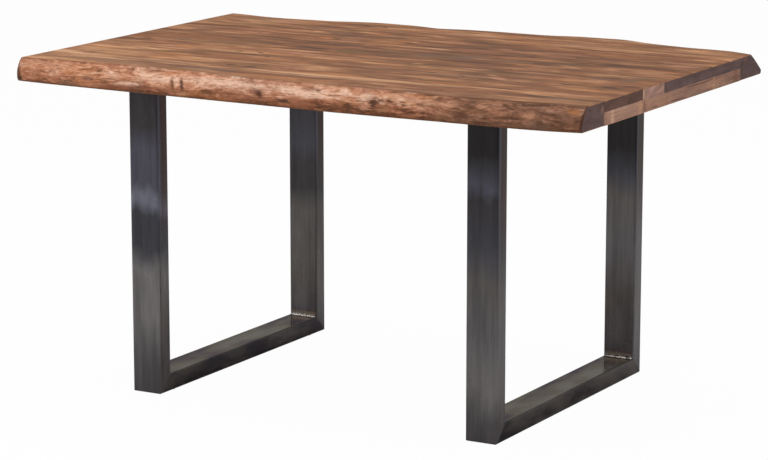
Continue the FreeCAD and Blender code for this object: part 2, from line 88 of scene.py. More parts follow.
TONES = {
    "petal": paint(240, 198, 171),
    "cream": paint(228, 184, 150),
    "peach": paint(214, 157, 125),
    "sand": paint(206, 154, 112),
    "blush": paint(194, 136, 104),
    "amber": paint(192, 120, 60),
    "salmon": paint(190, 128, 96),
    "honey": paint(184, 132, 95),
    "rose": paint(168, 111, 80),
    "clay": paint(166, 108, 78),
    "fawn": paint(159, 109, 74),
    "ash": paint(152, 115, 90),
    "brick": paint(140, 84, 58),
    "russet": paint(139, 89, 57),
    "mauve": paint(128, 92, 82),
    "olive": paint(122, 88, 50),
    "slate": paint(118, 90, 72),
    "umber": paint(106, 66, 40),
    "walnut": paint(76, 47, 32),
    "ink": paint(48, 36, 33),
    "dust": paint(172, 133, 117),
    "hazel": paint(136, 102, 87),
    "cocoa": paint(102, 73, 62),
    "plum": paint(100, 78, 75),
}


def stops(scale, tones):
    """Swaps the names in a scale of places and tone names for their colours."""
    return [(place, tones[name]) for place, name in scale]


print("timber tones:", ", ".join(TONES))

# %% [markdown]
# ## A helper that adds nodes a line at a time
# A finish in Blender is a web of nodes. Drawn by hand it takes many clicks, and written out it takes
# many lines, so this class keeps each step to one line. Every method returns the output that the
# next step plugs into.

# %% The finish builder
class Finish:
    """One material whose nodes are added in the order in which they act."""

    def __init__(self, name):
        self.material = bpy.data.materials.new(name)
        self.material.use_nodes = True
        self.tree = self.material.node_tree
        self.tree.nodes.clear()
        self.place = self.add("TexCoord", {}).outputs["Object"]

    def add(self, kind, plugs, **settings):
        """Adds a node. A plug is a plain value or the output of an earlier node."""
        node = self.tree.nodes.new("ShaderNode" + kind)
        for name, value in settings.items():
            setattr(node, name, value)
        for name, value in plugs.items():
            if isinstance(value, bpy.types.NodeSocket):
                self.tree.links.new(value, node.inputs[name])
            else:
                node.inputs[name].default_value = value
        return node

    def math(self, operation, *values):
        """Works out one number from others."""
        return self.add("Math", dict(enumerate(values)), operation=operation).outputs[0]

    def total(self, *values):
        """Adds any number of values."""
        result = values[0]
        for value in values[1:]:
            result = self.math("ADD", result, value)
        return result

    def swing(self, value, reach):
        """Turns a value around one half into one that swings around nought."""
        return self.math("MULTIPLY_ADD", value, reach, -reach / 2)

    def vector(self, operation, *values):
        """Works out one place or direction from others."""
        return self.add("VectorMath", dict(enumerate(values)), operation=operation).outputs[0]

    def length(self, vector):
        return self.add("VectorMath", {0: vector}, operation="LENGTH").outputs["Value"]

    def parts(self, vector):
        """The x, y and z of a place or direction."""
        return self.add("SeparateXYZ", {0: vector}).outputs

    def join(self, x, y, z):
        return self.add("CombineXYZ", {"X": x, "Y": y, "Z": z}).outputs[0]

    def noise(self, place, stretch, detail=2.0, roughness=0.5, output="Fac"):
        """Cloudy noise. stretch says how many clouds fit in a metre along x, y and z."""
        scaled = self.vector("MULTIPLY", place, stretch)
        plugs = {"Vector": scaled, "Scale": 1.0, "Detail": detail, "Roughness": roughness}
        return self.add("TexNoise", plugs).outputs[output]

    def cloudy(self, place, stretch, detail, roughness, reach):
        """Noise that swings around nought by half of reach to either side."""
        return self.swing(self.noise(place, stretch, detail, roughness), reach)

    def drift(self, place, stretch, detail, reach):
        """A shift that wanders around nought by half of reach along x, y and z."""
        cloud = self.noise(place, stretch, detail, output="Color")
        return self.vector("MULTIPLY", self.vector("SUBTRACT", cloud, (0.5, 0.5, 0.5)), reach)

    def away(self, sheet, middle, half_sizes, turn=0.0):
        """How far off a spot's middle a place on the x-y sheet lies, 1 at the rim. Sizes are in mm."""
        plugs = {
            "Vector": sheet,
            "Location": (middle[0] * MM, middle[1] * MM, 0),
            "Rotation": (0, 0, turn),
            "Scale": (half_sizes[0] * MM, half_sizes[1] * MM, 1),
        }
        spot = self.add("Mapping", plugs, vector_type="TEXTURE").outputs[0]
        return self.length(self.vector("MULTIPLY", spot, (1, 1, 0)))

    def noise_along(self, value, detail=2.0, roughness=0.5):
        """Noise that changes with one number alone, such as a distance."""
        plugs = {"W": value, "Scale": 1.0, "Detail": detail, "Roughness": roughness}
        return self.add("TexNoise", plugs, noise_dimensions="1D").outputs["Fac"]

    def fade(self, value, start, end, first=0.0, last=1.0):
        """Goes smoothly from first to last as value goes from start to end."""
        plugs = dict(zip(("Value", "From Min", "From Max", "To Min", "To Max"),
                         (value, start, end, first, last)))
        return self.add("MapRange", plugs, interpolation_type="SMOOTHSTEP").outputs[0]

    def share(self, value, start, end):
        """How far value has gone from start to end, from 0 to 1."""
        return self.add("MapRange", {"Value": value, "From Min": start, "From Max": end}).outputs[0]

    def thin_line(self, value, half_width):
        """1 where a noise crosses one half, which is a thin wandering line, and 0 beside it."""
        off = self.math("ABSOLUTE", self.math("SUBTRACT", value, 0.5))
        return self.fade(off, half_width, 0.0)

    def mix(self, amount, under, over, how="MIX"):
        """Lays the colour over on the colour under."""
        plugs = {0: amount, 6: under, 7: over}
        return self.add("Mix", plugs, data_type="RGBA", blend_type=how).outputs[2]

    def shade(self, colour, level):
        """Makes a colour darker or lighter by a level around 1."""
        return self.mix(1.0, colour, self.join(level, level, level), "MULTIPLY")

    def ramp(self, value, stops):
        """Reads a colour off a strip. A stop is a place from 0 to 1 and a colour."""
        node = self.add("ValToRGB", {"Fac": value})
        strip = node.color_ramp.elements
        while len(strip) < len(stops):
            strip.new(0.5)
        for element, (place, colour) in zip(strip, stops):
            element.position = place
            element.color = colour
        return node.outputs["Color"]

    def bump(self, height, depth, strength=1.0):
        """Shades the surface as if it rose by height times depth."""
        plugs = {"Height": height, "Distance": depth, "Strength": strength}
        return self.add("Bump", plugs).outputs[0]

    def surface(self, **plugs):
        """Ends the finish with the physical surface shader and its output."""
        plugs = {name.replace("_", " "): value for name, value in plugs.items()}
        shader = self.add("BsdfPrincipled", plugs)
        self.add("OutputMaterial", {"Surface": shader.outputs[0]})
        return self.material


print("finish builder ready")

# %% [markdown]
# ## How acacia grows
# A board's figure is the tree's growth rings, cut through. A picture wrapped on the board would break
# at its edges, so the rings are worked out in space instead: the distance from the pith, the line at
# the heart of the tree, decides the shade. The pith wanders along the trunk, and the board that was
# sawn beside it shows long streaks, flames where a ring runs out, and arcs on its end grain.

# %% Rings, streaks, fibres and pores
GRAIN_WANDER = 30 * MM
GRAIN_RIPPLE = 12 * MM
RING_BAND = 34 * MM
RING_LINE = 3.6 * MM


def own_seed(node):
    """A number from 0 to 14 that is a board's own, so that its noise is like no other board's."""
    return sum(map(ord, node)) % 97 / 7


def wandering(finish, place, seed):
    """The place in the wood, shifted as the trunk wandered. The grain runs along x."""
    shifted = finish.vector("ADD", place, (seed, seed * 0.7, 0))
    slow = finish.drift(shifted, (1.6, 4, 4), 1.0, (0, GRAIN_WANDER, GRAIN_WANDER))
    quick = finish.drift(shifted, (7, 15, 15), 2.0, (0, GRAIN_RIPPLE, GRAIN_RIPPLE))
    return finish.vector("ADD", place, finish.vector("ADD", slow, quick))


def ring_depth(finish, wandered, pith):
    """Distance from the pith line, which runs along x through pith, given as y and z."""
    away = finish.vector("SUBTRACT", wandered, (0, *pith))
    return finish.length(finish.vector("MULTIPLY", away, (0, 1, 1)))


def rings(finish, depth, seed, width, detail=2.0):
    """Noise that is the same all along one ring."""
    return finish.noise_along(finish.math("MULTIPLY_ADD", depth, 1 / width, seed), detail, 0.6)


def fibres(finish, place):
    """Fine lengthwise threads around one half."""
    return finish.noise(place, (9, 520, 520), 3.0, 0.6)


def pores(finish, place):
    """Short open vessels, 1 where a pore is cut and 0 elsewhere."""
    return finish.fade(finish.noise(place, (55, 1100, 1100), 1.0), 0.62, 0.70)


print("ring bands are about", RING_BAND / MM, "mm wide, and fine lines", RING_LINE / MM, "mm")

# %% [markdown]
# ## Figure placed one by one
# Rings alone give an even pattern. What makes one tabletop that tabletop is its single marks: a pale
# flame, a dark streak, a knot. Each is one row that says in millimetres where it starts and ends
# along the board, how far across it lies and how wide it is, then its tone and strength, and last how
# far it leans, if it does. A mark belongs to the tree, so it stops at the glue line of its board.

# %% The marks of each board
Mark = namedtuple("Mark", "start end across half_width tone strength lean", defaults=(0,))
EndMark = namedtuple("EndMark", "across up half_width half_height tone strength")
Board = namedtuple("Board", "node level paler_left end_tone pith marks end_marks", defaults=((),))

FRONT_TOP = [
    (-704, -330, -392, 28, "ash", 0.55),
    (-330, -150, -384, 26, "ash", 0.6),
    (-704, -560, -432, 10, "amber", 0.35),
    (-200, 210, -362, 9, "sand", 0.75),
    (-165, 90, -383, 8, "russet", 0.65),
    (-70, 20, -442, 6, "umber", 0.5),
    (80, 290, -446, 9, "russet", 0.6),
    (210, 420, -372, 12, "russet", 0.4),
    (250, 420, -425, 14, "ash", 0.4),
    (420, 560, -446, 9, "umber", 0.6),
    (430, 450, -412, 6, "russet", 0.5),
    (560, 660, -385, 22, "ash", 0.4),
    (610, 704, -436, 8, "walnut", 0.6, 6),
    (670, 704, -415, 10, "olive", 0.4),
]
BACK_TOP = [
    (-704, -420, 376, 24, "ash", 0.4),
    (-440, -390, 388, 7, "sand", 0.5),
    (-580, -460, 364, 10, "blush", 0.4),
    (-300, -150, 425, 16, "olive", 0.5),
    (-190, -140, 402, 7, "sand", 0.4),
    (-90, 120, 372, 20, "honey", 0.4),
    (-60, 40, 412, 14, "olive", 0.4),
    (120, 330, 425, 30, "olive", 0.35),
    (190, 400, 362, 15, "honey", 0.55),
    (300, 420, 455, 18, "slate", 0.35),
    (430, 704, 366, 18, "honey", 0.6),
    (400, 600, 415, 10, "russet", 0.4),
]
PANEL = [
    Board("panel_board_1", 0.50, 0.17, "cocoa", (-300, 640), [
        (-212, 420, -340, 18, "sand", 0.9),
        (-140, 60, -343, 9, "cream", 0.4),
        (350, 520, -325, 7, "sand", 0.8),
        (530, 665, -321, 8, "blush", 0.6),
        (-640, -480, -277, 11, "sand", 0.7),
        (-470, -410, -290, 18, "amber", 0.55),
        (-600, -230, -334, 22, "ash", 0.75),
        (-385, -330, -300, 9, "russet", 0.7, -10),
        (-215, -130, -292, 14, "olive", 0.6),
        (-110, -90, -282, 7, "blush", 0.5),
        (-95, -68, -296, 4, "umber", 0.85, -6),
        (-62, -38, -304, 4, "umber", 0.8, -4),
        (-20, 120, -311, 9, "amber", 0.5),
        (70, 110, -298, 8, "olive", 0.6),
        (108, 134, -305, 5, "umber", 0.8),
        (138, 176, -317, 4, "umber", 0.75),
        (145, 230, -286, 18, "russet", 0.7),
        (240, 420, -308, 16, "amber", 0.45),
        (270, 296, -286, 7, "umber", 0.4),
        (400, 690, -282, 19, "russet", 0.75),
        (368, 402, -344, 3.5, "umber", 0.8),
        (480, 520, -347, 3, "umber", 0.7),
        (560, 650, -345, 4, "umber", 0.8),
    ]),
    Board("panel_board_2", 0.50, 0.18, "cocoa", (-190, 700), [
        (-690, -450, -246, 15, "sand", 0.65),
        (-690, -600, -215, 9, "amber", 0.35, -10),
        (-590, -490, -205, 11, "russet", 0.65, -4),
        (-480, -390, -222, 16, "amber", 0.5, -6),
        (-380, -240, -212, 30, "russet", 0.55),
        (-330, -170, -227, 13, "russet", 0.8),
        (-390, -100, -255, 9, "honey", 0.8),
        (-200, -110, -190, 13, "rose", 0.6),
        (-120, -90, -205, 14, "amber", 0.4, -6),
        (-60, 40, -196, 8, "umber", 0.4),
        (60, 130, -196, 16, "slate", 0.5),
        (120, 165, -222, 9, "blush", 0.55),
        (165, 205, -238, 6, "umber", 0.6),
        (160, 370, -192, 18, "ash", 0.6),
        (260, 300, -230, 5, "umber", 0.5),
        (330, 385, -240, 12, "olive", 0.5),
        (345, 405, -192, 13, "blush", 0.75, -34),
        (395, 470, -198, 18, "honey", 0.6),
        (390, 600, -245, 18, "russet", 0.75),
        (514, 546, -193, 7, "walnut", 0.85, -14),
        (524, 560, -228, 8, "honey", 0.6, -10),
        (550, 620, -182, 13, "amber", 0.35),
        (586, 620, -222, 12, "russet", 0.5),
    ]),
    Board("panel_board_3", 0.49, 0.15, "dust", (-60, 655), [
        (-700, -590, -96, 14, "honey", 0.5),
        (-670, -560, -134, 11, "russet", 0.7),
        (-560, -480, -112, 16, "blush", 0.65),
        (-500, -450, -112, 16, "amber", 0.6, -10),
        (-560, -530, -150, 6, "umber", 0.4, -8),
        (-440, -360, -105, 24, "honey", 0.5, -10),
        (-345, -310, -116, 13, "olive", 0.9, -8),
        (-300, -250, -112, 7, "umber", 0.9, -36),
        (-288, -252, -148, 8, "walnut", 0.85, -12),
        (-240, -212, -161, 7, "walnut", 0.8, -8),
        (-260, -110, -80, 15, "blush", 0.6, -6),
        (-215, -120, -128, 16, "russet", 0.6),
        (-170, -140, -112, 5, "sand", 0.5, -8),
        (-80, 10, -120, 12, "umber", 0.55),
        (-30, 0, -96, 7, "honey", 0.4),
        (90, 150, -118, 20, "olive", 0.8),
        (105, 135, -86, 7, "sand", 0.6),
        (130, 150, -70, 6, "umber", 0.6),
        (150, 240, -125, 22, "umber", 0.5),
        (225, 300, -100, 12, "blush", 0.6),
        (322, 366, -158, 9, "sand", 0.5, -14),
        (345, 480, -84, 13, "honey", 0.55),
        (390, 490, -115, 12, "russet", 0.8),
        (400, 490, -140, 10, "blush", 0.45),
        (500, 530, -62, 14, "umber", 0.7),
        (524, 552, -116, 8, "umber", 0.6),
        (540, 590, -88, 20, "slate", 0.7),
        (576, 596, -106, 6, "sand", 0.4),
        (605, 665, -82, 24, "slate", 0.75, -10),
        (650, 690, -157, 13, "umber", 0.85),
        (570, 610, -150, 7, "honey", 0.5),
    ], [EndMark(-165, 748, 6, 16, "cream", 0.7), EndMark(-90, 738, 56, 4, "hazel", 0.7)]),
    Board("panel_board_4", 0.50, 0.08, "plum", (-90, 700), [
        (-655, -610, -44, 16, "umber", 0.75, -10),
        (-500, -390, -38, 15, "blush", 0.6, -8),
        (-450, -370, -56, 4, "umber", 0.6),
        (-385, -330, -36, 9, "sand", 0.5),
        (-330, -180, -48, 10, "blush", 0.4),
        (-60, -10, -52, 8, "blush", 0.4),
        (60, 130, -42, 8, "russet", 0.5),
        (250, 300, -44, 9, "slate", 0.5),
        (325, 345, -59, 5, "ink", 0.9),
        (355, 430, -46, 12, "rose", 0.7),
        (425, 450, -44, 7, "sand", 0.5),
        (470, 520, -44, 14, "russet", 0.7),
        (600, 690, -44, 14, "slate", 0.6),
    ]),
    Board("panel_board_5", 0.47, 0.0, "plum", (40, 560), [
        (-660, -628, -20, 14, "umber", 0.7),
        (-570, -520, -12, 18, "slate", 0.6, -10),
        (-640, -570, 60, 12, "umber", 0.4),
        (-480, -380, 6, 12, "ash", 0.3),
        (-430, -370, 50, 18, "russet", 0.5),
        (-390, -340, 95, 12, "olive", 0.6),
        (-250, -160, 10, 9, "walnut", 0.85, -12),
        (-216, -186, 12, 6, "ink", 0.5),
        (-150, -72, 0, 22, "olive", 0.95),
        (-250, -130, 118, 12, "umber", 0.7),
        (-160, -110, 68, 14, "rose", 0.6),
        (-110, -70, 115, 8, "umber", 0.7),
        (-70, 20, 70, 26, "olive", 0.4),
        (-20, 30, 92, 16, "russet", 0.4),
        (40, 120, 34, 22, "slate", 0.6),
        (80, 230, -8, 14, "umber", 0.7),
        (120, 200, 45, 26, "slate", 0.5),
        (155, 225, 62, 14, "slate", 0.8),
        (240, 330, 36, 18, "slate", 0.6),
        (340, 392, 36, 22, "umber", 0.8, -20),
        (400, 470, 34, 14, "sand", 0.6, -24),
        (400, 470, 60, 9, "olive", 0.6),
        (505, 560, 44, 16, "blush", 0.75, -24),
        (470, 560, -4, 14, "russet", 0.6),
        (560, 690, 40, 28, "honey", 0.8),
        (640, 690, 62, 14, "amber", 0.4),
        (620, 690, -2, 9, "blush", 0.5),
        (420, 704, 104, 20, "umber", 0.85),
        (480, 530, 106, 9, "walnut", 0.7),
    ]),
    Board("panel_board_6", 0.49, 0.0, "plum", (160, 670), [
        (-690, -580, 180, 16, "ash", 0.6),
        (-660, -530, 137, 14, "umber", 0.6),
        (-515, -415, 170, 15, "blush", 0.75),
        (-330, -280, 158, 12, "rose", 0.7),
        (-290, -240, 168, 14, "amber", 0.75, -16),
        (-230, -170, 164, 22, "rose", 0.7),
        (-175, -60, 168, 16, "amber", 0.45),
        (-290, -140, 141, 5, "sand", 0.7),
        (-130, 90, 137, 6, "sand", 0.75),
        (-250, -130, 126, 4, "umber", 0.7),
        (-72, -40, 186, 9, "walnut", 0.85),
        (10, 80, 138, 7, "cream", 0.4),
        (20, 90, 178, 10, "umber", 0.5),
        (90, 210, 160, 20, "rose", 0.4),
        (230, 262, 148, 16, "olive", 0.5),
        (300, 390, 164, 20, "rose", 0.5),
        (430, 560, 160, 12, "ash", 0.4),
        (474, 496, 162, 8, "umber", 0.4, -12),
        (560, 600, 186, 7, "umber", 0.4),
        (590, 690, 164, 24, "blush", 0.7),
    ]),
    Board("panel_board_7", 0.47, 0.0, "plum", (250, 610), [
        (-704, -540, 234, 16, "umber", 0.7),
        (-590, -520, 254, 10, "umber", 0.6),
        (-540, -420, 215, 14, "blush", 0.4),
        (-380, -340, 255, 16, "umber", 0.5),
        (-340, -250, 262, 26, "slate", 0.6),
        (-305, -275, 247, 10, "walnut", 0.6),
        (-250, -60, 244, 13, "umber", 0.75),
        (-240, -170, 208, 12, "rose", 0.75),
        (-130, -20, 212, 9, "amber", 0.3),
        (-60, -38, 206, 8, "sand", 0.6),
        (-160, -90, 268, 14, "slate", 0.6),
        (0, 30, 268, 10, "rose", 0.5),
        (120, 200, 236, 12, "umber", 0.5),
        (165, 205, 206, 7, "blush", 0.6),
        (230, 420, 236, 12, "umber", 0.8),
        (260, 390, 205, 8, "blush", 0.5),
        (420, 704, 246, 28, "russet", 0.8),
        (560, 704, 206, 8, "blush", 0.4),
        (600, 690, 222, 7, "umber", 0.6),
    ]),
    Board("panel_board_8", 0.50, 0.0, "plum", (310, 690), [
        (-650, -550, 320, 14, "umber", 0.6),
        (-704, -640, 335, 10, "honey", 0.4),
        (-440, -330, 312, 16, "slate", 0.5),
        (-310, -220, 308, 20, "olive", 0.8),
        (-170, 20, 301, 12, "umber", 0.8),
        (-120, -60, 330, 9, "olive", 0.4),
        (20, 90, 330, 12, "rose", 0.4),
        (60, 100, 296, 9, "umber", 0.6),
        (105, 135, 340, 7, "umber", 0.5, -8),
        (190, 690, 330, 17, "honey", 0.85),
        (220, 340, 338, 9, "sand", 0.5),
        (400, 520, 326, 9, "sand", 0.5),
        (240, 560, 292, 10, "umber", 0.8),
        (490, 520, 294, 8, "walnut", 0.5),
    ]),
]
print("panel boards:", len(PANEL), "with", sum(len(board.marks) for board in PANEL), "marks")

# %% [markdown]
# ## The timber finish
# The top is oiled and sanded nearly matt. One function mixes the finish of one board. It first adds
# up how light the wood is: the board's own level, the ring bands and lines, streaks and patches. One
# strip of tones then turns that level into a colour, because in real timber a darker ring is also a
# different brown. Marks, end grain, fibres, pores and old glue in the joints are laid over it.

# %% From level to tone
TIMBER_SCALE = [
    (0.00, "walnut"),
    (0.28, "umber"),
    (0.46, "russet"),
    (0.60, "fawn"),
    (0.74, "honey"),
    (0.88, "sand"),
    (1.00, "cream"),
]


def timber_level(finish, board, wandered, depth, lengthwise, seed):
    """How light the wood is at each place, mostly between 0.2 and 0.8."""
    band = finish.swing(rings(finish, depth, seed, RING_BAND), 0.46)
    line = finish.swing(rings(finish, depth, seed, RING_LINE, 1.0), 0.20)
    streak = finish.cloudy(wandered, (5, 40, 40), 4.0, 0.54, 1.15)
    patch = finish.cloudy(wandered, (9, 23, 23), 3.0, 0.6, 0.85)
    return finish.total(lengthwise, board.level, band, line, streak, patch)


def gum_lines(finish, depth, wandered, seed):
    """Thin dark lines that follow a ring for a while."""
    ring = rings(finish, depth, seed + 31, 9 * MM, 1.0)
    there = finish.fade(finish.noise(wandered, (5, 60, 60), 2.0), 0.50, 0.62)
    return finish.math("MULTIPLY", finish.thin_line(ring, 0.035), there)


def hue_drift(finish, colour, wandered, seed):
    """Lets the brown drift towards orange in places and towards olive in others."""
    shifted = finish.vector("ADD", wandered, (seed, 3, 3))
    warm = finish.noise(shifted, (5, 28, 28), 2.0)
    colour = finish.mix(finish.fade(warm, 0.52, 0.70, 0.0, 0.28), colour, TONES["amber"])
    return finish.mix(finish.fade(warm, 0.47, 0.30, 0.0, 0.55), colour, TONES["olive"])


print("timber scale:", " to ".join(name for _, name in TIMBER_SCALE))

# %% Marks and end grain
VESSELS_PER_METRE = 700


def add_marks(finish, colour, place, marks, grain):
    """Lays each mark over the colour, with edges that fray along the fibres and the rings."""
    fray = finish.total(finish.cloudy(place, (9, 90, 90), 4.0, 0.6, 2.2), finish.swing(grain, 0.9))
    for mark in (Mark(*row) for row in marks):
        middle = ((mark.start + mark.end) / 2, mark.across)
        half_length = (mark.end - mark.start) / 2
        turn = math.atan2(mark.lean, 2 * half_length)
        away = finish.away(place, middle, (half_length, mark.half_width), turn)
        amount = finish.fade(finish.total(away, fray), 1.2, 0.35, 0.0, mark.strength)
        colour = finish.mix(amount, colour, TONES[mark.tone])
    return colour


def facing(finish):
    """How squarely the surface faces along x, y and z, as sizes from 0 to 1."""
    normal = finish.add("NewGeometry", {}).outputs["Normal"]
    return finish.parts(finish.vector("ABSOLUTE", normal))


def end_grain(finish, place, depth, seed, tone, marks):
    """A sawn end: muted arcs, and the open ends of the vessels as fine dark points."""
    arcs = finish.fade(rings(finish, depth, seed, RING_BAND), 0.25, 0.75, 0.80, 1.20)
    fine = finish.fade(rings(finish, depth, seed, RING_LINE, 1.0), 0.25, 0.75, 0.92, 1.07)
    cloud = finish.fade(finish.noise(place, (1, 22, 60), 3.0), 0.3, 0.7, 0.86, 1.14)
    colour = TONES[tone]
    for level in (arcs, fine, cloud):
        colour = finish.shade(colour, level)
    axes = finish.parts(place)
    face = finish.join(axes[1], axes[2], 0.0)
    for mark in marks:
        away = finish.away(face, (mark.across, mark.up), (mark.half_width, mark.half_height))
        away = finish.total(away, finish.swing(cloud, 0.8))
        amount = finish.fade(away, 1.5, 0.5, 0.0, mark.strength)
        colour = finish.mix(amount, colour, TONES[mark.tone])
    open_ends = finish.noise(place, (1, VESSELS_PER_METRE, VESSELS_PER_METRE), 1.0)
    return finish.mix(finish.fade(open_ends, 0.60, 0.68, 0.0, 0.55), colour, TONES["walnut"])


print("a sawn end shows vessels about", round(1000 / VESSELS_PER_METRE, 1), "mm apart")

# %% [markdown]
# The sharp arris at a board's end wears paler, where hands and sleeves rub. It is found from the
# direction that the surface faces: on the small bevel that is halfway between up and outwards.

# %% One board's finish
GLUE_LINE = 0.35 * MM
SHEEN = 0.15
PALER_LEFT = 0.02
PALER_RIGHT = 0.06
PALER_RIGHT_FROM = 200 * MM


def timber(name, board, along="X", joints=()):
    """The finish of one board, whose grain runs on the axis along, and the plugs of its surface.

    It isn't ended yet, so that more can be laid over it.
    """
    finish = Finish(name)
    x, y, z = finish.parts(finish.place)
    place = finish.join(y, x, z) if along == "Y" else finish.place
    seed = own_seed(board.node)
    wandered = wandering(finish, place, seed)
    depth = ring_depth(finish, wandered, [offset * MM for offset in board.pith])
    paler_left = finish.fade(x, drawn_box[0].x, 0.0, board.paler_left + PALER_LEFT, 0.0)
    paler_right = finish.fade(x, PALER_RIGHT_FROM, drawn_box[1].x, 0.0, PALER_RIGHT)
    lengthwise = finish.total(paler_left, paler_right)
    level = timber_level(finish, board, wandered, depth, lengthwise, seed)
    colour = finish.ramp(level, stops(TIMBER_SCALE, TONES))
    colour = hue_drift(finish, colour, wandered, seed)
    colour = add_marks(finish, colour, place, board.marks, level)
    colour = finish.mix(gum_lines(finish, depth, wandered, seed), colour, TONES["walnut"])

    across = facing(finish)[1 if along == "Y" else 0]
    sawn = end_grain(finish, place, depth, seed, board.end_tone, board.end_marks)
    colour = finish.mix(finish.fade(across, 0.80, 0.95), colour, sawn)
    arris = finish.math("MULTIPLY", finish.fade(across, 0.25, 0.5), finish.fade(across, 0.9, 0.75))
    rubbed = finish.fade(finish.noise(finish.place, (60, 60, 60), 2.0), 0.42, 0.62, 0.1, 0.6)
    colour = finish.mix(finish.math("MULTIPLY", arris, rubbed), colour, TONES["blush"])

    threads = fibres(finish, place)
    open_pores = pores(finish, place)
    colour = finish.shade(colour, finish.fade(threads, 0.25, 0.75, 0.84, 1.12))
    colour = finish.mix(finish.math("MULTIPLY", open_pores, 0.45), colour, TONES["walnut"])
    for joint in joints:
        gap = finish.math("ABSOLUTE", finish.math("SUBTRACT", y, joint))
        colour = finish.mix(finish.fade(gap, GLUE_LINE, 0, 0, 0.6), colour, TONES["ink"])

    relief = finish.math("SUBTRACT", threads, finish.math("MULTIPLY", open_pores, 1.2))
    return finish, {
        "Base_Color": colour,
        "Roughness": finish.fade(level, 0.2, 0.8, 0.50, 0.62),
        "Specular_IOR_Level": SHEEN,
        "Normal": finish.bump(relief, 0.12 * MM, 0.5),
    }


def dress(node, material):
    """Gives a piece of the construction model its finish."""
    piece = nodes[node]
    piece.data.materials.clear()
    piece.data.materials.append(material)


for board in PANEL:
    low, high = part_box(board.node)
    finish, plugs = timber(board.node + "_timber", board, joints=(low.y, high.y))
    dress(board.node, finish.surface(**plugs))
print("panel boards finished:", len(PANEL))

# %% [markdown]
# ## End strips and battens
# Strips glued under both ends make the thin panel look as thick as its edges. Their grain runs across
# the table, so the same function is asked to run the rings along Y. Here a mark's start and end are
# measured along Y and its place across along X. The battens over the legs are plain strips of the
# same timber, planed and oiled but never chosen for their figure.

# %% Strips and battens
STRIP_LEVELS = {"front": 0.74, "back": 0.62}
BATTEN_LEVEL = 0.58
PITH_ASIDE = 90
PITH_BELOW = 260


def cross_board(node, level, marks):
    """A board whose grain runs across the table, sawn well away from its pith."""
    low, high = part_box(node)
    pith = ((low.x + high.x) / 2 / MM + PITH_ASIDE, high.z / MM - PITH_BELOW)
    return Board(node, level, 0.0, "umber", pith, marks)


def strip_marks(outer_end):
    """Pale bars and dark specks on the two strips' outer faces, at outer_end along X."""
    front = [
        (-640, 110, outer_end, 200, "dust", 0.8),
        (-326, -308, outer_end, 60, "cream", 0.5),
        (-192, -172, outer_end, 60, "sand", 0.5),
        (-360, -340, outer_end, 60, "ash", 0.5),
    ]
    back = [
        (-700, 1000, outer_end, 200, "dust", 0.65),
        (60, 900, outer_end, 200, "hazel", 0.8),
        (-166, -154, outer_end, 60, "umber", 0.4),
        (-54, -40, outer_end, 60, "brick", 0.25),
        (195, 212, outer_end, 60, "sand", 0.35),
        (300, 350, outer_end, 60, "umber", 0.4),
    ]
    return {"front": front, "back": back}


def dress_cross_board(node, level, marks=()):
    """Finishes a strip or a batten."""
    finish, plugs = timber(node + "_timber", cross_board(node, level, marks), along="Y")
    dress(node, finish.surface(**plugs))


for side, corner in zip(("left", "right"), drawn_box):
    outer_end = round(corner.x / MM)
    for piece, marks in strip_marks(outer_end).items():
        dress_cross_board(f"{side}_end_strip_{piece}", STRIP_LEVELS[piece], marks)
    dress_cross_board(side + "_cross_batten", BATTEN_LEVEL)
print("strips and battens finished")

# %% [markdown]
# ## The live edges
# Under the bark a tree is neither flat nor smooth. The construction model already has the edge's long
# waves, and this step adds what a drawknife and a brush leave: shallow flats, ripples, lengthwise
# grooves, dimples round knots and a softened arris. The shape could be sculpted by hand or pushed out
# by a displacement modifier, but points worked out one by one follow the model's own surface
# exactly, and they can be pushed only inwards, so the board never grows past its real size.

# %% Reading the edge of the construction model
STATION_STEP = 2.4 * MM
EDGE_LEVELS = 38
END_ARRIS = 1.5 * MM


def stations(low, high):
    """Places along the board, close together, with one more at each end's small arris."""
    count = round((high.x - low.x) / STATION_STEP)
    inner = [low.x + (high.x - low.x) * i / count for i in range(1, count)]
    return [low.x, low.x + END_ARRIS, *inner[1:-1], high.x - END_ARRIS, high.x]


def edge_reader(edge):
    """Returns a function that gives how far out the model's edge lies at a place and height."""
    tree = BVHTree.FromObject(nodes[edge.board.node], bpy.context.evaluated_depsgraph_get())
    low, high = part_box(edge.board.node)
    inside_y = edge.seam + edge.side * 20 * MM
    end_margin = END_ARRIS * 1.1
    level_margin = 0.2 * MM

    def read(x, z):
        x = min(max(x, low.x + end_margin), high.x - end_margin)
        z = min(max(z, low.z + level_margin), high.z - level_margin)
        found = tree.ray_cast(Vector((x, inside_y, z)), Vector((0, edge.side, 0)))[0]
        if found is None:
            raise ValueError(f"no edge found at {x}, {z}")
        return found.y

    return read


print("edge levels:", EDGE_LEVELS, "every", round(STATION_STEP / MM, 1), "mm along the board")

# %% [markdown]
# A knot is a dimple with a raised lip, and a shake is a narrow cut. Each has one row in the list, and
# the finish reads the same list, so its dark colour lands exactly in its hollow. A row gives the
# middle and the half sizes in millimetres, the tone and its strength, then the depth and the lean in
# degrees, if there are any. A mark with no depth is only a change of colour.

# %% The marks of the two live edges
EdgeMark = namedtuple("EdgeMark", "along up half_length half_height tone strength depth lean",
                      defaults=(0, 0))
Edge = namedtuple("Edge", "name side seam board marks")

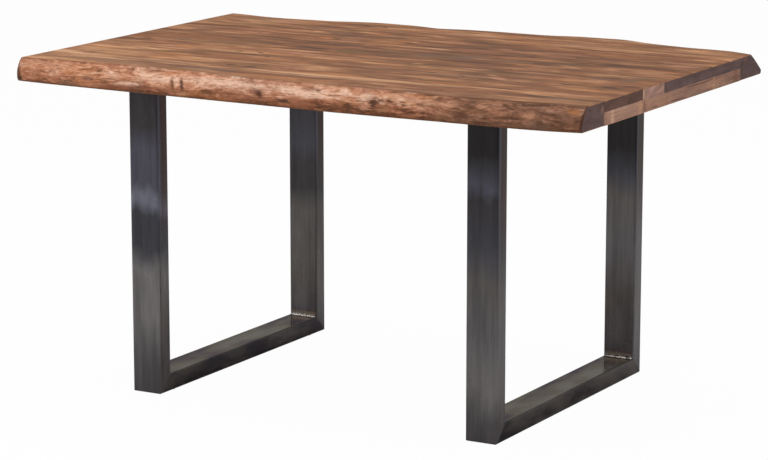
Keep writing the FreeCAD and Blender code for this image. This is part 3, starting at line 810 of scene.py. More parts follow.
FRONT_EDGE_MARKS = [
    (-698, 727, 5, 17, "walnut", 0.85, 0.2),
    (-694, 716, 5, 8, "ink", 0.9, 0.2),
    (-658, 724, 16, 2.5, "clay", 0.6),
    (-633, 736, 12, 2.5, "brick", 0.7, 0.5, -4),
    (-630, 752, 70, 6, "peach", 0.6),
    (-621, 719, 8, 2, "umber", 0.8, 0.6),
    (-612, 735, 14, 3, "brick", 0.5, 0.3),
    (-612, 715, 8, 2.5, "brick", 0.6),
    (-596, 758, 8, 3, "brick", 0.5),
    (-593, 728, 14, 7, "clay", 0.5),
    (-580, 722, 4, 2, "umber", 0.7, 0.4),
    (-560, 716, 28, 4.5, "slate", 0.7, 0.3),
    (-556, 721, 14, 2, "umber", 0.7, 0.5),
    (-541, 728, 5, 1.9, "umber", 0.6, 0.3),
    (-534, 758, 10, 2, "umber", 0.5),
    (-530, 720, 6, 6, "brick", 0.4),
    (-520, 747, 16, 2, "brick", 0.6, 0.3),
    (-508, 734, 14, 3, "ash", 0.5),
    (-506, 729, 16, 2.5, "mauve", 0.8, 0.5, 3),
    (-494, 729, 5, 1.9, "umber", 0.7, 0.3),
    (-490, 717, 26, 6, "salmon", 0.6),
    (-484, 747, 10, 3.5, "umber", 0.75, 0.8),
    (-482, 723, 14, 2, "brick", 0.6, 0.3),
    (-456, 751, 12, 2, "brick", 0.5),
    (-452, 725, 22, 2.5, "umber", 0.75, 0.6),
    (-431, 748, 12, 1.5, "umber", 0.6, 0.4),
    (-420, 717, 60, 5, "brick", 0.8, 0.4, 2),
    (-414, 755, 7, 2, "brick", 0.7, 0.5, -10),
    (-401, 755, 5, 2.5, "umber", 0.8, 0.6, -8),
    (-396, 746, 10, 1.6, "brick", 0.5, 0, -8),
    (-395, 727, 34, 4, "petal", 0.7, 0, 2),
    (-378, 714, 10, 4, "umber", 0.6, 0.3),
    (-362, 735, 14, 3, "ash", 0.4),
    (-355, 753, 30, 3, "ash", 0.4),
    (-352, 721, 20, 3, "brick", 0.7, 0.3),
    (-330, 758, 50, 1.2, "petal", 0.5),
    (-317, 745, 7, 1.2, "clay", 0.6, 0.2),
    (-300, 743, 50, 6, "petal", 0.85),
    (-283, 720, 8, 2.5, "brick", 0.4, 0, 80),
    (-279, 732, 17, 6, "clay", 0.6, 0, -58),
    (-278, 733, 13, 3.6, "umber", 0.8, 1.1, -58),
    (-254, 735, 13, 3.6, "walnut", 0.9, 1.2, -58),
    (-254, 734, 17, 6, "clay", 0.6, 0, -58),
    (-250, 716, 18, 5, "honey", 0.5),
    (-215, 712, 20, 2, "umber", 0.6),
    (-190, 729.5, 18, 1.5, "umber", 0.6, 0.4, 2),
    (-183, 725, 22, 5.5, "umber", 0.75, 0.9),
    (-183, 725, 30, 9, "clay", 0.5, 0.2),
    (-175, 716, 26, 2, "brick", 0.5, 0, 2),
    (-165, 752, 16, 1.5, "clay", 0.5),
    (-155, 721, 4, 3, "peach", 0.6),
    (-150, 747, 90, 7, "petal", 0.8),
    (-150, 733, 6, 3, "brick", 0.85, 0.6),
    (-130, 735, 20, 1.5, "sand", 0.5),
    (-122, 727, 14, 4, "brick", 0.7, 0.3),
    (-118, 745, 8, 2, "clay", 0.5, 0.3),
    (-100, 730, 7, 7, "clay", 0.5, 0, -30),
    (-88, 713, 12, 3, "brick", 0.6),
    (-80, 722, 16, 5, "brick", 0.5),
    (-60, 737, 10, 2.5, "mauve", 0.85, 0.8, -10),
    (-52, 715, 14, 4, "umber", 0.6, 0.3),
    (-52, 731, 14, 9, "brick", 0.7, 0.4, -20),
    (-51, 732, 8, 6, "ink", 0.9, 1.8, -30),
    (-45, 752, 10, 3, "clay", 0.5, 0.3, -20),
    (-36, 748, 10, 2, "clay", 0.5, 0.4, -30),
    (-22, 727, 12, 1.5, "clay", 0.5),
    (-12, 719, 16, 2.5, "umber", 0.6, 0.4),
    (13, 723, 16, 3.6, "ink", 0.8, 1),
    (14, 722, 22, 6, "brick", 0.6, 0.3),
    (30, 745, 36, 7, "petal", 0.85),
    (50, 731, 24, 3, "clay", 0.5),
    (62, 722, 26, 5, "brick", 0.55),
    (68, 751, 18, 5, "brick", 0.65, 0.5),
    (85, 738, 28, 4, "petal", 0.7),
    (91, 724, 6, 2.2, "umber", 0.7, 0.4, -8),
    (94, 750, 5, 1.5, "umber", 0.5, 0.3),
    (105, 711, 14, 2.5, "blush", 0.7),
    (132, 743, 14, 1.6, "brick", 0.8, 0.6, 2),
    (132, 750, 8, 2.5, "clay", 0.6),
    (136, 721, 16, 4, "umber", 0.7, 0.4),
    (145, 738, 6, 2, "petal", 0.8),
    (156, 751, 12, 5, "petal", 0.7, 0, -20),
    (160, 716, 8, 3, "umber", 0.7, 0.4),
    (174, 722, 11, 7.5, "walnut", 0.8, 1.4, -20),
    (174, 721, 18, 11, "brick", 0.6, 0.4, -20),
    (192, 720, 10, 2, "umber", 0.7, 0.5),
    (200, 737, 14, 2.5, "umber", 0.6, 0.5),
    (212, 748, 16, 5, "petal", 0.6),
    (213, 726, 14, 5, "peach", 0.7),
    (231, 736, 9, 7, "ink", 0.9, 1.8, -20),
    (233, 736, 20, 10, "brick", 0.7, 0.5, -20),
    (246, 741, 9, 3, "mauve", 0.9, 1, -10),
    (254, 736, 6, 2, "petal", 0.6),
    (254, 723, 14, 4, "honey", 0.6),
    (256, 748, 6, 2, "petal", 0.8),
    (258, 732, 12, 1.9, "brick", 0.8, 0.4, -4),
    (262, 714, 40, 3, "umber", 0.7, 0.3),
    (267, 741, 8, 2, "ink", 0.75, 0.8, -12),
    (268, 739, 16, 6, "brick", 0.6, 0.3, -12),
    (272, 758, 12, 1.2, "umber", 0.8, 0.6),
    (284, 737, 8, 1.6, "umber", 0.85, 0.5),
    (285, 750, 46, 5, "peach", 0.8, 0, -2),
    (286, 729, 8, 4, "brick", 0.7, 0.4),
    (292, 746, 10, 2.5, "petal", 0.8, 0, -10),
    (297, 742, 6, 2, "umber", 0.6),
    (302, 736, 7, 1.5, "walnut", 0.8, 0.4),
    (305, 726, 10, 4, "walnut", 0.65, 0.5, -12),
    (310, 738, 8, 2, "petal", 0.6),
    (320, 714, 18, 4, "rose", 0.6, 0, -4),
    (322, 724, 8, 2.5, "walnut", 0.75, 0.5, -8),
    (342, 740, 14, 2.5, "walnut", 0.6, 0.5, -5),
    (345, 713, 22, 3.5, "ink", 0.6, 0.5, 6),
    (355, 759, 16, 1.2, "walnut", 0.8, 0.5, 2),
    (370, 721, 8, 2, "walnut", 0.6, 0.3),
    (374, 738, 14, 3, "umber", 0.6, 0.3, -4),
    (377, 752, 10, 4, "walnut", 0.6, 0.4),
    (382, 733, 4, 2, "walnut", 0.6, 0.3),
    (395, 744, 34, 3.5, "peach", 0.55, 0, -3),
    (396, 719, 22, 4, "olive", 0.6),
    (417, 756, 8, 2, "walnut", 0.7, 0.6),
    (426, 738, 8, 2, "walnut", 0.65, 0.4, -10),
    (436, 726, 20, 7, "walnut", 0.65, 0.9),
    (452, 741, 18, 3, "umber", 0.6, 0.3),
    (480, 746, 16, 4, "peach", 0.6, 0, -4),
    (486, 715, 18, 3, "walnut", 0.75, 0.4, -3),
    (494, 737, 4, 1.2, "walnut", 0.6, 0.3),
    (495, 724, 10, 2.2, "walnut", 0.85, 0.6),
    (505, 755, 26, 3.5, "honey", 0.5),
    (512, 738, 22, 4, "salmon", 0.6, 0, -12),
    (524, 718, 8, 3, "walnut", 0.5),
    (532, 751, 9, 2.2, "walnut", 0.75, 0.6, -12),
    (543, 746, 8, 1.9, "walnut", 0.75, 0.5, -8),
    (548, 729, 30, 3.5, "walnut", 0.65, 0.7, 3),
    (560, 757, 16, 2, "walnut", 0.6, 0.4),
    (560, 727, 8, 1.9, "ink", 0.6, 0.4),
    (588, 735, 16, 5, "blush", 0.8),
    (590, 747, 20, 2.2, "umber", 0.7, 0.4),
    (600, 755, 36, 2.2, "walnut", 0.8, 0.6, 2),
    (606, 750, 9, 3, "mauve", 0.5),
    (612, 719, 24, 8, "slate", 0.55, 0.4),
    (617, 723, 8, 5, "walnut", 0.6, 0.8),
    (626, 710, 3, 3, "walnut", 0.7, 0, 60),
    (630, 741, 24, 3, "walnut", 0.7, 0.6, -4),
    (648, 738, 12, 3, "walnut", 0.55, 0.5, -10),
    (653, 728, 8, 3, "walnut", 0.6, 0.5),
    (655, 719, 14, 6, "walnut", 0.6, 0.4),
    (676, 757, 30, 2.2, "walnut", 0.6, 0.3),
    (676, 709, 16, 1.3, "honey", 0.7),
    (678, 749, 14, 5, "amber", 0.55, 0, -8),
    (682, 713, 24, 2, "walnut", 0.8, 0.4),
    (690, 730, 5, 5, "walnut", 0.6, 0.6),
    (701, 730, 3, 24, "walnut", 0.7, 0.3),
]
BACK_EDGE_MARKS = [
    (-640, 726, 34, 6, "amber", 0.5),
    (-520, 738, 22, 8, "ink", 0.85, 1.8),
    (-430, 748, 30, 4, "umber", 0.8, 0.8),
    (-330, 722, 44, 6, "umber", 0.75, 1.0),
    (-230, 733, 3, 12, "umber", 0.85, 1.3),
    (-120, 742, 60, 7, "cream", 0.65),
    (-40, 727, 15, 8, "walnut", 0.9, 1.6),
    (40, 748, 50, 3, "russet", 0.7, 0.6),
    (120, 735, 50, 6, "russet", 0.75, 0.8),
    (260, 721, 24, 6, "slate", 0.85, 1.2),
    (330, 738, 44, 7, "cream", 0.6),
    (390, 746, 44, 4, "umber", 0.7, 0.8),
    (520, 730, 14, 9, "ink", 0.88, 1.8),
    (620, 745, 40, 5, "amber", 0.6),
]
FRONT_BOARD = Board("front_live_edge_board", 0.52, 0.14, "plum", (-420, 640), FRONT_TOP, [
    EndMark(-425, 750, 9, 5, "ink", 0.5),
    EndMark(-366, 742, 9, 12, "blush", 0.35),
])
BACK_BOARD = Board("back_live_edge_board", 0.52, 0.06, "plum", (400, 660), BACK_TOP, [
    EndMark(380, 752, 18, 7, "mauve", 0.6),
    EndMark(358, 728, 9, 20, "walnut", 0.35),
])


def live_edge(name, side, board, rows):
    """A board with its live side, which looks along Y to side, -1 or 1."""
    low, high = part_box(board.node)
    seam = high.y if side < 0 else low.y
    return Edge(name, side, seam, board, [EdgeMark(*row) for row in rows])


EDGES = [
    live_edge("front_live_edge", -1, FRONT_BOARD, FRONT_EDGE_MARKS),
    live_edge("back_live_edge", 1, BACK_BOARD, BACK_EDGE_MARKS),
]
print("edge marks:", [len(edge.marks) for edge in EDGES])

# %% [markdown]
# The mesh is a row of sections, each a closed loop of points round the board, joined to the next by
# quads. Levels that lie on the live side are pushed in by the wear; the other sides stay flat. Two
# numbers are written into the mesh at every point for the finish to read: whether it is on the live
# side, and how deep its hollow is, because hollows are where dark bark stays. Each kind of wear is
# noted by how many waves it has in a metre along the edge and up it, and by its greatest depth.

# %% Wear on the live side
Wear = namedtuple("Wear", "along up depth")
SWELL = Wear(11, 38, 0.9 * MM)
FLATS = Wear(34, 95, 1.1 * MM)
RIPPLE = Wear(120, 330, 0.4 * MM)
GROOVES = Wear(9, 125, 0.8 * MM)
GROOVE_WIDTH = 0.09
GROOVE_SWAY = 12 * MM
MARK_LIP = 1.15
MARK_OUTER = 1.6
ARRIS = 2.0 * MM
END_EASE = 0.5 * MM
END_EASE_LENGTH = 7 * MM
END_CALM = 80 * MM


def carving(x, z, marks, seed):
    """How far a point lies inside the model's edge, and how hollow it is, from 0 to 1."""
    swell = 0.5 + 0.5 * noise.noise(Vector((x * SWELL.along + seed, z * SWELL.up, seed)))
    flats = abs(noise.noise(Vector((x * FLATS.along + seed, z * FLATS.up, 3.1))))
    ripple = 0.5 + 0.5 * noise.noise(Vector((x * RIPPLE.along, z * RIPPLE.up, seed)))
    sway = GROOVE_SWAY * noise.noise(Vector((x * 16, seed, z * 30)))
    run = noise.noise(Vector((x * GROOVES.along + seed, (z + sway) * GROOVES.up, 8.7)))
    there = noise.noise(Vector((x * 24, z * 46, seed + 4)))
    groove = max(0.0, 1 - abs(run) / GROOVE_WIDTH) * min(1.0, max(0.0, there * 5 + 0.3))
    depth = SWELL.depth * swell + FLATS.depth * flats + RIPPLE.depth * ripple
    depth += GROOVES.depth * groove
    hollow = 0.75 * groove
    for mark in marks:
        turn = math.radians(mark.lean)
        aside = x / MM - mark.along
        above = z / MM - mark.up
        away = math.hypot((aside * math.cos(turn) + above * math.sin(turn)) / mark.half_length,
                          (above * math.cos(turn) - aside * math.sin(turn)) / mark.half_height)
        if away < MARK_OUTER:
            inside = max(0.0, 1 - away * away)
            lip = 0.35 * math.exp(-((away - MARK_LIP) / 0.2) ** 2)
            depth += mark.depth * MM * (inside - lip)
            hollow += 0.5 * mark.depth * inside
    return max(0.0, depth), min(1.0, hollow)


def raggedness(x, seed):
    """Size of the soft top arris here, which a brush never leaves even."""
    slow = 0.55 * noise.noise(Vector((x * 25, seed, 0)))
    quick = 0.35 * noise.noise(Vector((x * 90, seed, 0)))
    return ARRIS * (1 + slow + quick)


def arris_rounding(nearest, size):
    """How far a rounded arris lies inside a sharp one, at a distance from the flat face."""
    if nearest >= size:
        return 0.0
    return size - math.sqrt(max(0.0, size ** 2 - (size - nearest) ** 2))


def end_rounding(x, low, high):
    """How far the eased corner at each end of the board lies inside, from 0 up to END_EASE."""
    nearest = min(x - low.x, high.x - x)
    return END_EASE * max(0.0, 1 - nearest / END_EASE_LENGTH) ** 2


def calm_near_end(x, low, high):
    """How much of the wear is left near the saw cuts at the board's ends, from 0.25 up to 1."""
    nearest = min(x - low.x, high.x - x)
    return min(1.0, 0.25 + nearest / END_CALM)


def eased(widths):
    """Lets a plane take off a section's sharpest creases: each width nears the mean beside it."""
    beside = [(above + below) / 2 for above, below in zip(widths, widths[2:])]
    return [widths[0], *((own + mean) / 2 for own, mean in zip(widths[1:-1], beside)), widths[-1]]


print("deepest knot is", max(mark.depth for edge in EDGES for mark in edge.marks), "mm")

# %% Building a live edge board
FULL_WEAR_FROM = 6 * MM
SEEDS = {-1: 5.0, 1: 23.0}
TOP_SHARES = (0.25, 0.5, 0.75, 0.95)
UNDERSIDE_SHARES = (0.95, 0.6, 0.3)
SHARP_EDGE = math.radians(42)


def edge_section(edge, read, x, inset, low, high):
    """One loop of points round the board at x: seam, top, live side downwards, underside."""
    seed = SEEDS[edge.side]
    near = [mark for mark in edge.marks if mark.depth
            and abs(x / MM - mark.along) < MARK_OUTER * max(mark.half_length, mark.half_height)]
    top = high.z - inset
    bottom = low.z + inset
    size = raggedness(x, seed)
    calm = calm_near_end(x, low, high)
    turns = [math.pi * level / (EDGE_LEVELS - 1) for level in range(EDGE_LEVELS)]
    heights = [top + (bottom - top) * (1 - math.cos(turn)) / 2 for turn in turns]
    widths = eased(eased([edge.side * read(x, z) for z in heights]))
    live = []
    for z, width in zip(heights, widths):
        nearest = min(high.z - z, z - low.z)
        depth, hollow = carving(x, z, near, seed)
        depth *= calm * min(1.0, 0.35 + nearest / FULL_WEAR_FROM)
        inwards = depth + arris_rounding(nearest, size)
        inwards += inset + end_rounding(x, low, high)
        live.append((x, edge.side * (width - inwards), z, 1.0, hollow))
    seam = edge.seam
    loop = [(x, seam, bottom, 0.0, 0.0), (x, seam, top, 0.0, 0.0)]
    for share in TOP_SHARES:
        loop.append((x, seam + (live[0][1] - seam) * share, top, 0.0, 0.0))
    loop += live
    for share in UNDERSIDE_SHARES:
        loop.append((x, seam + (live[-1][1] - seam) * share, bottom, 0.0, 0.0))
    return loop


def skin_of_loops(loops, outwards):
    """Faces between neighbouring loops of points, and one over each end."""
    around = len(loops[0])
    last = (len(loops) - 1) * around
    faces = []
    for this in range(0, last, around):
        following = this + around
        for j in range(around):
            k = (j + 1) % around
            faces.append((this + j, following + j, following + k, this + k))
    faces.append(tuple(range(around)))
    faces.append(tuple(last + j for j in reversed(range(around))))
    return faces if outwards else [face[::-1] for face in faces]


def new_piece(name, vertices, faces, replaced):
    """Makes a mesh object that stands for a piece of the construction model."""
    mesh = bpy.data.meshes.new(name)
    mesh.from_pydata(vertices, [], faces)
    piece = bpy.data.objects.new(name, mesh)
    bpy.context.scene.collection.objects.link(piece)
    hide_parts(replaced)
    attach(piece, "root")
    return piece


def live_edge_board(edge):
    """Builds the board, hides the plain one, and marks its live side for the finish."""
    low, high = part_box(edge.board.node)
    read = edge_reader(edge)
    places = stations(low, high)
    loops = []
    for x in places:
        inset = END_ARRIS if x in (places[0], places[-1]) else 0.0
        loops.append(edge_section(edge, read, x, inset, low, high))
    points = [point for loop in loops for point in loop]
    corners = [point[:3] for point in points]
    faces = skin_of_loops(loops, outwards=edge.side > 0)
    board = new_piece(edge.name, corners, faces, edge.board.node)
    for number, name in ((3, "live_side"), (4, "hollow")):
        layer = board.data.attributes.new(name, "FLOAT", "POINT")
        layer.data.foreach_set("value", [point[number] for point in points])
    board.data.shade_smooth()
    board.data.set_sharp_from_angle(angle=SHARP_EDGE)
    print(edge.name, "has", len(points), "points at", len(places), "stations")
    return board


live_boards = {edge.name: live_edge_board(edge) for edge in EDGES}

# %% [markdown]
# ## The finish of a live edge
# The live side cuts the youngest rings at a grazing angle, so its figure is flaky instead of
# streaked: pale sapwood, scraps of darker inner bark, thin lengthwise cracks, knots and small shakes.
# Like the flat sides it has one level that runs through one strip of tones. The top and the ends of
# the same board keep the usual timber finish, and the mesh's own numbers tell the two apart. All the
# marks together would overfill one material, so each board is finished in a few stretches.

# %% Sapwood, scraps of bark and painted shade
SKIN_SCALE = [
    (0.00, "ink"),
    (0.12, "walnut"),
    (0.25, "umber"),
    (0.38, "brick"),
    (0.50, "clay"),
    (0.62, "salmon"),
    (0.75, "peach"),
    (0.90, "petal"),
]
# Levels by height, underside to top: partly the sapwood's own tone, partly painted shade low down.
LEFT_SAPWOOD_AND_SHADE = [(0.06, 0.35), (0.15, 0.44), (0.35, 0.55), (0.54, 0.68), (0.73, 0.71), (0.92, 0.61)]
MIDDLE_SAPWOOD_AND_SHADE = [(0.06, 0.31), (0.15, 0.35), (0.35, 0.49), (0.54, 0.73), (0.73, 0.80), (0.92, 0.69)]
RIGHT_SAPWOOD_AND_SHADE = [(0.06, 0.32), (0.25, 0.42), (0.54, 0.45), (0.73, 0.54), (0.92, 0.46)]
LEFT_TO_MIDDLE = (-520 * MM, -360 * MM)
MIDDLE_TO_RIGHT = (290 * MM, 460 * MM)
SKIN_LAYERS = {
    "clouds": ((9, 34, 1), 3.0, 0.55, 0.65),
    "flakes": ((26, 130, 1), 4.0, 0.70, 1.05),
    "strands": ((14, 300, 1), 2.0, 0.60, 0.50),
    "flecks": ((90, 320, 1), 2.0, 0.60, 0.45),
    "threads": ((30, 620, 1), 2.0, 0.50, 0.30),
}
SCALES_AT_RIGHT = ((58, 270, 1), 3.0, 0.70, 1.25)
SKIN_DRIFT = (30 * MM, 28 * MM, 0)


def level_by_height(finish, share, levels):
    """Reads a level off a list of heights, both from 0 at the underside to 1 at the top."""
    greys = [(up, (grey, grey, grey, 1)) for up, grey in levels]
    return finish.parts(finish.ramp(share, greys))[0]


def skin_level(finish, x, share, sheet):
    """Sapwood level with painted shade low down: palest on top, darker all over at the right end."""
    sapwood_and_shade = level_by_height(finish, share, LEFT_SAPWOOD_AND_SHADE)
    for reach, levels in ((LEFT_TO_MIDDLE, MIDDLE_SAPWOOD_AND_SHADE), (MIDDLE_TO_RIGHT, RIGHT_SAPWOOD_AND_SHADE)):
        next_sapwood_and_shade = level_by_height(finish, share, levels)
        sapwood_and_shade = finish.add("Mix", {0: finish.fade(x, *reach), 2: sapwood_and_shade, 3: next_sapwood_and_shade}).outputs[0]
    layers = [finish.cloudy(sheet, *layer) for layer in SKIN_LAYERS.values()]
    scales = finish.cloudy(sheet, *SCALES_AT_RIGHT)
    scales = finish.math("MULTIPLY", scales, finish.fade(x, *MIDDLE_TO_RIGHT, 0.20, 1.0))
    return finish.total(sapwood_and_shade, *layers, scales)


def cracks(finish, sheet, stretch, half_width, seed):
    """Thin dark lines along the edge, broken into short runs."""
    shifted = finish.vector("ADD", sheet, (seed, 0, seed))
    line = finish.thin_line(finish.noise(shifted, stretch, 2.0, 0.55), half_width)
    there = finish.fade(finish.noise(shifted, (38, 90, 1), 2.0), 0.49, 0.58)
    return finish.math("MULTIPLY", line, there)


def edge_marks(finish, skin, sheet, marks):
    """Lays the knots and shakes over the skin, the largest first, with frayed edges."""
    fray = finish.cloudy(sheet, (85, 300, 1), 4.0, 0.70, 3.4)
    for mark in sorted(marks, key=lambda mark: -mark.half_length * mark.half_height):
        away = finish.away(sheet, (mark.along, mark.up), (mark.half_length, mark.half_height),
                           math.radians(mark.lean))
        amount = finish.fade(finish.total(away, fray), 1.55, 0.35, 0, mark.strength)
        skin = finish.mix(amount, skin, TONES[mark.tone])
    return skin


def rims(finish, skin, x, z, flat, low, high):
    """Painted shade at the live side's bottom, and darker saw-cut ends and top lip in runs."""
    # Painted shade: the lowest millimetres of the live side, which face down, are darkened to umber.
    foot_shade = finish.fade(z, low.z + 7 * MM, low.z + 1 * MM, 0, 0.75)
    skin = finish.mix(foot_shade, skin, TONES["umber"])
    from_middle = finish.math("ABSOLUTE", x)
    saw_cut = finish.fade(from_middle, high.x - 4 * MM, high.x - 2 * MM, 0, 0.75)
    skin = finish.mix(saw_cut, skin, TONES["walnut"])
    lip = finish.fade(z, high.z - 2.4 * MM, high.z - 1 * MM)
    runs = finish.fade(finish.noise(flat, (9, 1, 1), 2.0), 0.42, 0.58, 0.2, 1.0)
    lip = finish.math("MULTIPLY", lip, runs)
    lip = finish.math("MULTIPLY", lip, finish.fade(x, *MIDDLE_TO_RIGHT, 0.5, 1.0))
    return finish.mix(lip, skin, TONES["umber"])


def bark_skin(finish, edge, marks):
    """The colour of the live side, and a height for its fine relief."""
    x, _, z = finish.parts(finish.place)
    flat = finish.join(x, z, 0.0)
    sheet = finish.vector("ADD", flat, finish.drift(flat, (9, 34, 1), 2.0, SKIN_DRIFT))
    low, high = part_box(edge.board.node)
    level = skin_level(finish, x, finish.share(z, low.z, high.z), sheet)
    skin = finish.ramp(level, stops(SKIN_SCALE, TONES))
    warm = finish.noise(sheet, (7, 26, 1), 2.0)
    skin = finish.mix(finish.fade(warm, 0.54, 0.68, 0, 0.30), skin, TONES["amber"])
    skin = finish.mix(finish.fade(warm, 0.42, 0.30, 0, 0.25), skin, TONES["mauve"])
    greyed = finish.fade(x, *MIDDLE_TO_RIGHT, 0.0, 0.52)
    skin = finish.mix(greyed, skin, TONES["slate"])
    skin = edge_marks(finish, skin, flat, marks)

    wide_cracks = cracks(finish, sheet, (9, 170, 1), 0.070, 1.0)
    fine_cracks = cracks(finish, sheet, (26, 360, 1), 0.060, 7.0)
    skin = finish.mix(finish.math("MULTIPLY", wide_cracks, 0.35), skin, TONES["umber"])
    skin = finish.mix(finish.math("MULTIPLY", fine_cracks, 0.5), skin, TONES["brick"])
    hollow = finish.add("Attribute", {}, attribute_name="hollow").outputs["Fac"]
    skin = finish.mix(finish.fade(hollow, 0.15, 0.8, 0, 0.6), skin, TONES["umber"])
    height = finish.total(level, finish.math("MULTIPLY", wide_cracks, -0.4),
                          finish.math("MULTIPLY", fine_cracks, -0.5))
    return rims(finish, skin, x, z, flat, low, high), height


print("skin layers:", ", ".join(SKIN_LAYERS))

# %% Finish by stretches
MARK_REACH = 2.8
STRETCHES = 6


def live_edge_finish(edge, number, start, end):
    """The finish of a board's stretch from start to end, with the marks that reach into it."""
    finish, plugs = timber(f"{edge.name}_timber_{number}", edge.board, joints=(edge.seam,))
    marks = [mark for mark in edge.marks
             if start < (mark.along + MARK_REACH * mark.half_length) * MM
             and (mark.along - MARK_REACH * mark.half_length) * MM < end]
    skin, height = bark_skin(finish, edge, marks)
    live = finish.add("Attribute", {}, attribute_name="live_side").outputs["Fac"]
    not_sawn = finish.fade(facing(finish)[0], 0.95, 0.8)
    live = finish.math("MULTIPLY", finish.fade(live, 0.3, 0.7), not_sawn)
    plugs["Base_Color"] = finish.mix(live, plugs["Base_Color"], skin)
    rough_skin = finish.bump(height, 0.5 * MM, 0.6)
    both = {0: live, 4: plugs["Normal"], 5: rough_skin}
    plugs["Normal"] = finish.add("Mix", both, data_type="VECTOR").outputs[1]
    return finish.surface(**plugs)


for edge in EDGES:
    low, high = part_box(edge.board.node)
    board = live_boards[edge.name].data
    length = (high.x - low.x) / STRETCHES
    for number in range(STRETCHES):
        start = low.x + number * length
        board.materials.append(live_edge_finish(edge, number + 1, start, start + length))
    for face in board.polygons:
        face.material_index = min(int((face.center.x - low.x) / length), STRETCHES - 1)
print("live edges finished in", STRETCHES, "stretches each")

# %% [markdown]
# ## Bare steel under clear lacquer
# The frames are hot rolled tube that was brushed and lacquered, so the mill's black, blue and grey
# still show, and every post has its own. Steel is a metal, so its colour is the tint of what it
# mirrors. Each post gets a short list of tones by height, which a cloudy noise lets waver, and hairs
# along the tube from the brush. The list also holds painted light: painted shade darkens each post's
# top under the tabletop, and pale sky bands are painted reflections. The upper side faces get painted
# reflections too, pale towards the front and dark brown towards the back. Near a weld the heat has
# left rings of straw, brown and blue.

# %% Tones of the tube
# jet at the posts' tops and black at the left front post's top are painted shade under the tabletop;
# sky is a painted reflection.
STEEL = {
    "jet": paint(37, 34, 34),
    "black": paint(54, 51, 53),
    "dusk": paint(61, 60, 66),
    "blue": paint(74, 73, 83),
    "sky": paint(104, 104, 117),
    "warm": paint(85, 81, 79),
    "grey": paint(91, 88, 90),
    "pale": paint(108, 105, 104),
    "olive": paint(94, 90, 78),
    "brown": paint(66, 45, 41),
    "straw": paint(142, 130, 108),
    "bright": paint(150, 148, 144),
}
# Heights in mm and tones; the dark tops are painted shade under the tabletop, the sky bands painted
# reflections.
POST_TONES_AND_PAINTED_LIGHT = {
    "left_front": [
        (60, "grey"), (170, "pale"), (285, "pale"), (335, "dusk"), (410, "dusk"), (440, "sky"),
        (458, "sky"), (482, "blue"), (560, "blue"), (620, "black"), (702, "black"),
    ],
    "right_front": [
        (40, "grey"), (130, "pale"), (240, "grey"), (350, "warm"), (430, "dusk"), (520, "black"),
        (548, "blue"), (575, "dusk"), (620, "jet"), (702, "jet"),
    ],
    "left_back": [
        (60, "grey"), (150, "warm"), (300, "warm"), (370, "black"), (440, "black"), (480, "dusk"),
        (560, "black"), (702, "jet"),
    ],
    "right_back": [
        (50, "grey"), (190, "warm"), (300, "grey"), (420, "warm"), (470, "dusk"), (520, "jet"),
        (702, "jet"),
    ],
}
POST_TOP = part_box("left_front_post")[1].z
RAIL_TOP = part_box("left_floor_rail")[1].z
POST_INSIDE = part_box("left_back_post")[0].y
print("steel tones:", ", ".join(STEEL))

# %% Tube steel
POST_SMOOTHEST = 0.17
FLAT_SMOOTHEST = 0.09
HEAT_REACH = 40 * MM
HEAT_SCALE = [(0.05, "bright"), (0.20, "straw"), (0.36, "brown"), (0.55, "blue"), (0.80, "dusk")]
FLAT_SCALE = [(0.26, "dusk"), (0.40, "grey"), (0.52, "olive"), (0.72, "pale")]
GRAZING_SCALE = [
    (0.34, paint(190, 178, 186)),
    (0.50, paint(220, 213, 204)),
    (0.66, paint(240, 236, 228)),
]


def heat_rings(finish, colour, away, strength):
    """Straw, brown and blue rings, by how far away the weld is."""
    heated = finish.ramp(finish.math("DIVIDE", away, HEAT_REACH), stops(HEAT_SCALE, STEEL))
    return finish.mix(finish.fade(away, 34 * MM, 5 * MM, 0, strength), colour, heated)


def steel_finish(finish, colour, clouds, hairs, smoothest, grazing):
    """What all the steel shares: the brush's hairs, the lacquer and the sheen."""
    colour = finish.shade(colour, finish.fade(hairs, 0.3, 0.7, 0.90, 1.10))
    rough = finish.fade(clouds, 0.3, 0.7, smoothest, smoothest + 0.13)
    return finish.surface(
        Base_Color=colour,
        Metallic=1.0,
        Specular_Tint=grazing,
        Roughness=finish.total(rough, finish.swing(hairs, 0.10)),
        Coat_Weight=0.2,
        Coat_Roughness=0.10,
        Normal=finish.bump(finish.total(hairs, clouds), 0.08 * MM, 0.3),
    )


